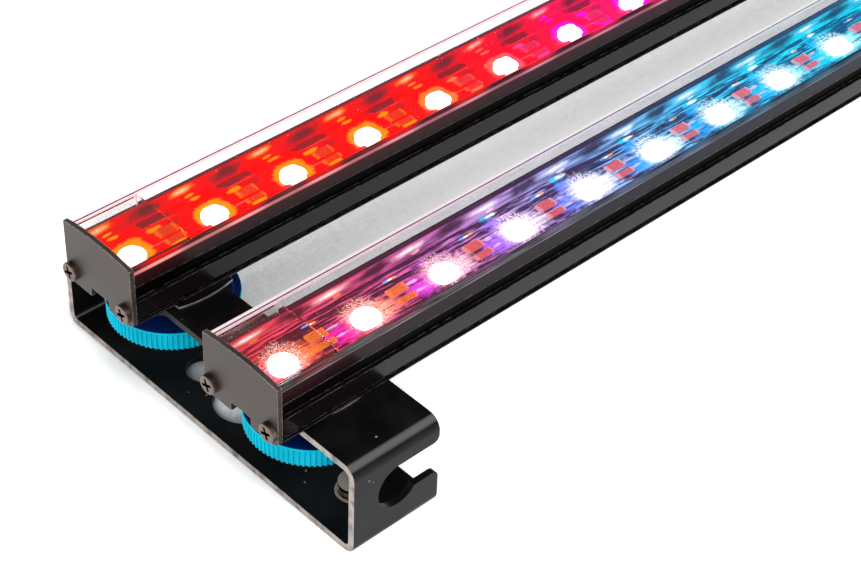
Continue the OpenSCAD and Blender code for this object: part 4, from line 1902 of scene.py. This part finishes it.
@dataclass
class Bracket(Assembly):
    """One bent sheet bracket with the two threaded bushes pressed into its base."""

    end: End
    width: float = 30.0 * MM
    length: float = 126.0 * MM
    height: float = 31.0 * MM
    sheet: float = 2.2 * MM
    top_bend: float = 4.2 * MM
    base_bend: float = 3.5 * MM
    lip: float = 20.0 * MM
    flange_end: float = 46.5 * MM
    neck: Pair = (-12.5 * MM, 6.5 * MM)
    waist: Pair = (-20.0 * MM, 20.0 * MM)
    hook: Pair = (0.5 * MM, 16.3 * MM)
    hook_r: float = 7.0 * MM
    hook_slot: Pair = (12.3 * MM, 23.2 * MM)
    centre_hole: float = 9.3 * MM
    side_hole: float = 5.75 * MM
    side_hole_y: float = 18.0 * MM
    bush_y: float = 46.3 * MM
    bush_r: float = 6.25 * MM
    bush_t: float = 2.4 * MM
    bush_shank: float = 5.4 * MM
    thread_r: float = 4.25 * MM
    stud_y: Pair = (31.5 * MM, -29.5 * MM)
    stud_hole: float = 3.3 * MM

    def __post_init__(self) -> None:
        """Finds where the bracket stands."""
        self.place(self.end.value, "bracket", "bracket")
        self.origin = Vector((self.middle.x, 0, 0))
        self.half = self.width / 2

    @staticmethod
    def fold(piece: Piece, test: Test, centre: Pair, angle: float, onward: Pair) -> None:
        """Bends the strip on from its end face, then runs it straight.

        Args:
            piece: The strip.
            test: Finds the end face by its middle and normal.
            centre: The centre of the bend across and up.
            angle: How far it bends about X.
            onward: How far it then runs across and up.
        """
        with chosen_faces(piece, test):
            bpy.ops.mesh.spin(steps=8, angle=angle, center=(0, *centre), axis=(1, 0, 0))
            bpy.ops.mesh.extrude_region_move(TRANSFORM_OT_translate={"value": (0, *onward)})

    def build_strip(self) -> None:
        """Folds the strip from its base, then cuts its waist, holes and hook opening."""
        half, end, square = self.half, self.length / 2, math.pi / 2
        b, t, wall = self.base_bend, self.top_bend, self.height - self.top_bend
        strip = box(self.node("strip"), (-half, -end + b, 0), (half, end - b, self.sheet))
        self.fold(strip, lambda place, way: way.y < -0.9, (b - end, b), square, (0, wall - b))
        upper, lip = (self.flange_end + end - t, 0), (0, self.lip - b)
        self.fold(strip, lambda at, way: way.z > 0.9 and at.z > wall - OVER, (t - end, wall), square, upper)
        self.fold(strip, lambda at, way: way.y > 0.9 and at.z < self.sheet, (end - b, b), -square, lip)
        with editing(strip):
            bpy.ops.mesh.select_all(action="SELECT")
            bpy.ops.mesh.remove_doubles(threshold=0.001 * MM)
            bpy.ops.mesh.normals_make_consistent(inside=False)

        def at_side(place: Vector) -> bool:
            """True on the strip's long edges."""
            return near(abs(place.x), half)

        tip = self.flange_end
        round_edges(strip, 5 * MM, lambda at, way: abs(way.z) > 0.9 and near(at.y, tip) and at_side(at))
        rim = self.lip
        round_edges(strip, 4 * MM, lambda at, way: abs(way.y) > 0.9 and near(at.z, rim) and at_side(at))
        self.cut_flange(strip)
        self.cut_wall(strip)
        self.cut_base(strip)
        soften(strip, 0.2 * MM)
        self.finish(self.settle(strip), "bracket_coat", (BRACKET_COAT, CUT_EDGE), "bracket")
        reach = half - 0.6 * MM
        # The cut edges take the pale sheet-edge finish, partly a painted highlight.
        paint(strip, 1, lambda at, way: abs(way.x) > 0.5 and abs(at.x - self.middle.x) > reach)

    def cut_flange(self, strip: Piece) -> None:
        """Cuts the two waists and the stud holes in the top flange.

        Args:
            strip: The folded strip.
        """
        low, high = self.height - self.sheet - OVER, self.height + OVER
        (back, ahead), beyond = self.waist, self.half + 4 * MM
        for inner, outer in ((self.neck[1], beyond), (self.neck[0], -beyond)):
            waste = box("waist", (inner, back, low), (outer, ahead, high))
            round_edges(waste, 2.5 * MM, lambda place, way: abs(way.z) > 0.9 and near(place.x, inner))
            cut(strip, waste)
        for y in self.stud_y:
            drill(strip, self.stud_hole, (0, y, low), high - low, Way.Z, 48)

    def cut_wall(self, strip: Piece) -> None:
        """Cuts the hook hole in the upright wall and its way out to one side.

        Args:
            strip: The folded strip.
        """
        face = -self.length / 2
        back, depth = face - OVER, self.sheet + 2 * OVER
        (x, z), (low, high) = self.hook, self.hook_slot
        drill(strip, self.hook_r, (x, back, z), depth, Way.Y, 64)
        cut(strip, box("hook_way", (x, back, low), (self.half + OVER, back + depth, high)))

        def corner(place: Vector, way: Vector) -> bool:
            """True for the edges through the sheet at the slot's mouth, at this height."""
            across = abs(way.y) > 0.9 and near(place.x, self.half)
            return across and near(place.z, height) and place.y < face + self.sheet

        for height in self.hook_slot:
            round_edges(strip, 2 * MM, corner, segments=4)

    def cut_base(self, strip: Piece) -> None:
        """Cuts the round holes in the base.

        Args:
            strip: The folded strip.
        """
        holes = [(0.0, self.centre_hole)]
        for s in (-1, 1):
            holes += [(s * self.side_hole_y, self.side_hole), (s * self.bush_y, self.bush_shank)]
        for y, radius in holes:
            drill(strip, radius, (0, y, -OVER), self.sheet + 2 * OVER, Way.Z, 64)

    def build_bushes(self) -> None:
        """Models one stepped bush with a threaded bore and copies it to both ends."""
        bore, fit = self.thread_r, 0.05 * MM
        shank = rod("bush_shank", self.bush_shank - fit, (0, 0, 0), self.sheet + fit, Way.Z, 48)
        collar = rod("bush_collar", self.bush_r, (0, 0, self.sheet), self.bush_t, Way.Z, 64)
        round_edges(collar, 0.35 * MM, lambda place, way: place.z > self.sheet + OVER, segments=3)
        total = self.sheet + self.bush_t
        for part in (shank, collar):
            drill(part, bore + 0.25 * MM, (0, 0, -OVER), total + 2 * OVER, Way.Z, 48)
            soften(part, 0.12 * MM)
        turns = int((total - 1 * MM) / MM)
        thread = helix((bore, 0.1 * MM), (bore + 0.35 * MM, 0.85 * MM), bore, 0.3, turns)
        bush = join("bush", shank, collar, thread)
        copies = [copy_to(bush, (0, s * self.bush_y, 0)) for s in (-1, 1)]
        bpy.data.objects.remove(bush)
        piece = self.settle(join(self.node("threaded_bushes"), *copies))
        self.finish(piece, "bush_coat", (BUSH_COAT, RECESS_SHADE), "bushes")

        def inside(place: Vector, normal: Vector) -> bool:
            """True for the faces of the bores and their threads."""
            off = math.hypot(place.x - self.middle.x, abs(place.y) - self.bush_y)
            return abs(normal.z) < 0.7 and off < bore + 0.5 * MM

        # Painted shade in the bores and their threads.
        paint(piece, 1, inside)

    def build(self) -> None:
        """Builds the bracket and its bushes."""
        self.build_strip()
        self.build_bushes()


@dataclass
class Clamp(Assembly):
    """One clamp: ribbed thumb wheel with its bolt, washer, pad and the T-nut in the bar's slot."""

    end: End
    side: Side
    rim_r: float = 19.4 * MM
    rib_depth: float = 0.65 * MM
    ribs: int = 80
    thickness: float = 6.4 * MM
    lip_t: float = 0.95 * MM
    hub_r: float = 8.0 * MM
    bolt_r: float = 3.0 * MM
    head_r: float = 5.77 * MM
    head_t: float = 4.0 * MM
    pad_bow: float = 34.0 * MM

    def __post_init__(self) -> None:
        """Finds the stud's axis."""
        self.place(f"{self.end.value}_{self.side.value}", "thumb_wheel", "wheel")
        self.origin = Vector((self.middle.x, self.middle.y, 0))
        self.foot = self.low.z

    def turned(self, name: str, radius: float, foot: float, top: float, sides: int = 64) -> Piece:
        """A round piece on the stud's axis, from one height to another."""
        return rod(name, radius, (*self.origin.xy, foot), top - foot, Way.Z, sides)

    def bore(self, piece: Piece, loose: float, low: float, high: float) -> None:
        """Cuts the bolt's way through a piece, wider than the bolt by this much all round."""
        cut(piece, self.turned("bore", self.bolt_r + loose, low - OVER, high + OVER, 48))

    def from_axis(self, place: Vector) -> float:
        """How far a place is from the stud's axis."""
        return math.hypot(place.x - self.origin.x, place.y - self.origin.y)

    def build_wheel(self) -> None:
        """Models the wheel: ribs raised from a drum, smooth lip, recessed face, hub and hollow."""
        foot, top, edge = self.foot, self.foot + self.thickness, 2.5 * MM
        radius = self.rim_r - self.rib_depth - 0.12 * MM
        drum = self.turned("drum", radius, foot, top - 0.3 * MM, 2 * self.ribs)
        with editing(drum) as mesh:
            sides = [face for face in mesh.faces if abs(face.normal.z) < 0.5]
            sides.sort(key=lambda face: math.atan2(face.normal.y, face.normal.x))
            for face in sides[::2]:
                face.select_set(True)
            bmesh.update_edit_mesh(drum.data)
            for thickness, depth in ((0.05 * MM, 0.42 * MM), (0.16 * MM, 0.16 * MM)):
                bpy.ops.mesh.inset(thickness=thickness, depth=depth, use_individual=True)

        def face_of(up: int) -> Test:
            """Finds the round face that looks up (1) or down (-1)."""
            return lambda place, normal: up * normal.z > 0.9 and self.from_axis(place) < 1 * MM

        sink(drum, face_of(-1), (1.7 * MM, 0), (0.2 * MM, -2 * MM))
        shade(drum, 50)
        lip = self.turned("lip", self.rim_r, top - self.lip_t, top, 160)
        rim = self.rim_r - 0.1 * MM
        round_edges(lip, 0.42 * MM, lambda at, way: self.from_axis(at) > rim and abs(way.z) < 0.5, 3)
        groove, floor = (0.3 * MM, -0.5 * MM), (self.rim_r - edge - self.hub_r, 0)
        sink(lip, face_of(1), (1.8 * MM, 0), groove, floor, (0.15 * MM, 0.4 * MM))
        shade(lip, 40)
        hub = self.turned("hub", self.hub_r, foot, self.high.z, 64)
        cut(hub, self.turned("head_pocket", self.head_r + 0.08 * MM, foot - OVER, foot + self.head_t, 6))
        soften(hub, 0.25 * MM)
        wheel = join(self.node("ribbed_wheel"), drum, lip, hub)
        self.finish(wheel, "cyan_plastic", (WHEEL_PLASTIC,), "thumb_wheel")

    def build_bolt(self) -> None:
        """Models the hexagon bolt with a chamfered head and a threaded stud."""
        low, high = (corner[2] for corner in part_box(self.node("bolt")))
        head = self.turned("bolt_head", self.head_r, low, low + self.head_t - 0.05 * MM, 6)
        soften(head, 0.3 * MM)
        stud = self.turned("bolt_stud", self.bolt_r - 0.35 * MM, low + OVER, high, 32)
        soften(stud, 0.3 * MM)
        foot, ridge = low + self.head_t + 2 * MM, 0.85 * MM
        turns = int((high - 0.6 * MM - foot - ridge) / MM)
        root, tip = self.bolt_r - 0.4 * MM, self.bolt_r
        thread = self.settle(helix((root, foot), (tip, foot + ridge), tip, 0.25, turns))
        bolt = join(self.node("hex_bolt"), head, stud, thread)
        self.finish(bolt, "bright_steel", (BRIGHT_STEEL,), "bolt")

    def build_washer(self) -> None:
        """Models the thin washer between the hub and the flange."""
        low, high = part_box(self.node("washer"))
        ring = self.turned(self.node("hub_washer"), (high[0] - low[0]) / 2, low[2], high[2], 64)
        self.bore(ring, 0.3 * MM, low[2], high[2])
        soften(ring, 0.15 * MM)
        self.finish(ring, "nylon", (NYLON,), "washer", self.node("washer"))

    def build_pad(self) -> None:
        """Models the pad, its two ends bowed outwards."""
        low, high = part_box(self.node("pad"))
        pad = box(self.node("bowed_pad"), low, high)
        for centre in (low[1] + self.pad_bow, high[1] - self.pad_bow):
            foot = (self.origin.x, centre, low[2] - OVER)
            cut(pad, rod("bow", self.pad_bow, foot, 4 * MM, Way.Z, 256), keep=True)
        self.bore(pad, 0.3 * MM, low[2], high[2])
        soften(pad, 0.1 * MM)
        bracket = f"{self.end.value}_bracket"
        self.finish(pad, "bracket_coat", (BRACKET_COAT, CUT_EDGE), "pad", bracket)
        # The pad's cut rim takes the pale sheet-edge finish, partly a painted highlight.
        paint(pad, 1, lambda place, normal: abs(normal.z) < 0.5)

    def build_nut(self) -> None:
        """Models the T-nut from a block, with its neck and tapped hole."""
        low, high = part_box(self.node("t_nut"))
        nut = box(self.node("slot_nut"), low, high)
        for s in (-1, 1):
            inner, outer = (self.origin.y + s * reach for reach in (3.8 * MM, 8 * MM))
            foot = (low[0] - OVER, inner, low[2] - OVER)
            cut(nut, box("nut_step", foot, (high[0] + OVER, outer, high[2] - 3.4 * MM)))
        self.bore(nut, 0.05 * MM, low[2], high[2])
        soften(nut, 0.25 * MM)
        self.finish(nut, "bright_steel", (BRIGHT_STEEL,), "t_nut", f"{self.end.value}_bracket")

    def build(self) -> None:
        """Builds the whole clamp."""
        self.build_wheel()
        self.build_bolt()
        self.build_washer()
        self.build_pad()
        self.build_nut()


@dataclass
class Studio:
    """Camera, lamps, world and table."""

    fx: Effects
    eye: tuple[float, float, float] = (-0.52905, -0.33896, 0.4035)
    azimuth: float = 45.34
    elevation: float = 39.87
    roll: float = 2.44
    lens: float = 86.64
    sky: float = 0.62
    horizon: Pair = (0.12, 0.5)
    mirrored: Pair = (1.0, 0.05)

    @staticmethod
    def stand(name: str, data: bpy.types.ID, place: Sequence[float], turn: Matrix) -> Piece:
        """Stands a camera or a lamp in its place, turned.

        Args:
            name: Its name.
            data: The camera or lamp.
            place: Where it stands.
            turn: How it is turned.

        Returns:
            The object.
        """
        thing = bpy.data.objects.new(name, data)
        thing.matrix_world = Matrix.Translation(place) @ turn.to_4x4()
        bpy.context.scene.collection.objects.link(thing)
        return thing

    def set_camera(self) -> None:
        """Places the camera."""
        azimuth, elevation, roll = map(math.radians, (self.azimuth, self.elevation, self.roll))
        flat = math.cos(elevation)
        ahead = Vector((flat * math.cos(azimuth), flat * math.sin(azimuth), -math.sin(elevation)))
        right = ahead.cross(Vector((0, 0, 1))).normalized()
        up = right.cross(ahead)
        c, s = math.cos(roll), math.sin(roll)
        right, up = c * right + s * up, c * up - s * right
        data = bpy.data.cameras.new("camera")
        data.sensor_width = 36
        data.lens = self.lens
        data.clip_start = 0.01
        turn = Matrix((right, up, -ahead)).transposed()
        bpy.context.scene.camera = self.stand("camera", data, self.eye, turn)

    def set_world(self) -> None:
        """Lights the scene evenly and shows white behind it."""
        world = bpy.data.worlds.new("studio")
        world.use_nodes = True
        world.node_tree.nodes.clear()
        w = Wiring(world.node_tree)
        path = w.add("LightPath").outputs
        bent = w.maths("MAXIMUM", path["Is Glossy Ray"], path["Is Transmission Ray"])
        up = w.axes(w.add("TexCoord").outputs["Generated"])["Z"]
        mirrored = w.remap(up, *self.horizon, *self.mirrored)
        level = w.remap(bent, 0.0, 1.0, self.sky, mirrored, smooth=False)
        level = w.remap(path["Is Camera Ray"], 0.0, 1.0, level, 1.0, smooth=False)
        sky = w.add("Background", {"Color": (1.0, 1.0, 1.0), "Strength": level})
        w.add("OutputWorld", {"Surface": sky.outputs[0]})
        bpy.context.scene.world = world

    def add_lamp(self, name: str, place: Sequence[float], size: float, power: float) -> None:
        """Adds a square soft lamp that faces the middle of the object.

        Args:
            name: Its name.
            place: Where it stands.
            size: The length of its side.
            power: Its power in watts.
        """
        data = bpy.data.lights.new(name, "AREA")
        data.size = size
        data.energy = power
        aim = Vector((-0.15, 0, 0.03)) - Vector(place)
        self.stand(name, data, place, aim.to_track_quat("-Z", "Y").to_matrix())

    def lay_table(self) -> None:
        """Lays the table under the object."""
        bpy.ops.mesh.primitive_plane_add(size=8, location=(0, 0, -0.2 * MM))
        table = added("table")
        table.data.materials.append(Paper("table_paper").material(self.fx))

    def build(self) -> None:
        """Sets up the whole studio."""
        bpy.context.scene.view_settings.view_transform = "Standard"
        self.set_camera()
        self.set_world()
        self.add_lamp("key_softbox", (-0.3, -1.0, 1.1), 1.0, 5.0)
        self.add_lamp("fill_softbox", (-1.3, -0.3, 1.0), 1.0, 6.0)
        self.lay_table()


def main() -> None:
    """Loads the model, sets up the studio and builds every sub-assembly."""
    logging.basicConfig(level=logging.INFO, format="%(name)s %(message)s")
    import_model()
    fx = Effects()
    Studio(fx).build()
    shop = Shop(fx)
    for side, first in ((Side.LEFT, 11.4 * MM), (Side.RIGHT, 14.2 * MM)):
        bar = LightBar(shop, side, first)
        bar.build()
        InletSet(shop, bar).build()
    for end in End:
        Bracket(shop, end).build()
        for side in Side:
            Clamp(shop, end, side).build()
    log.info("%d pieces finished", shop.count)


if __name__ == "__main__":
    main()
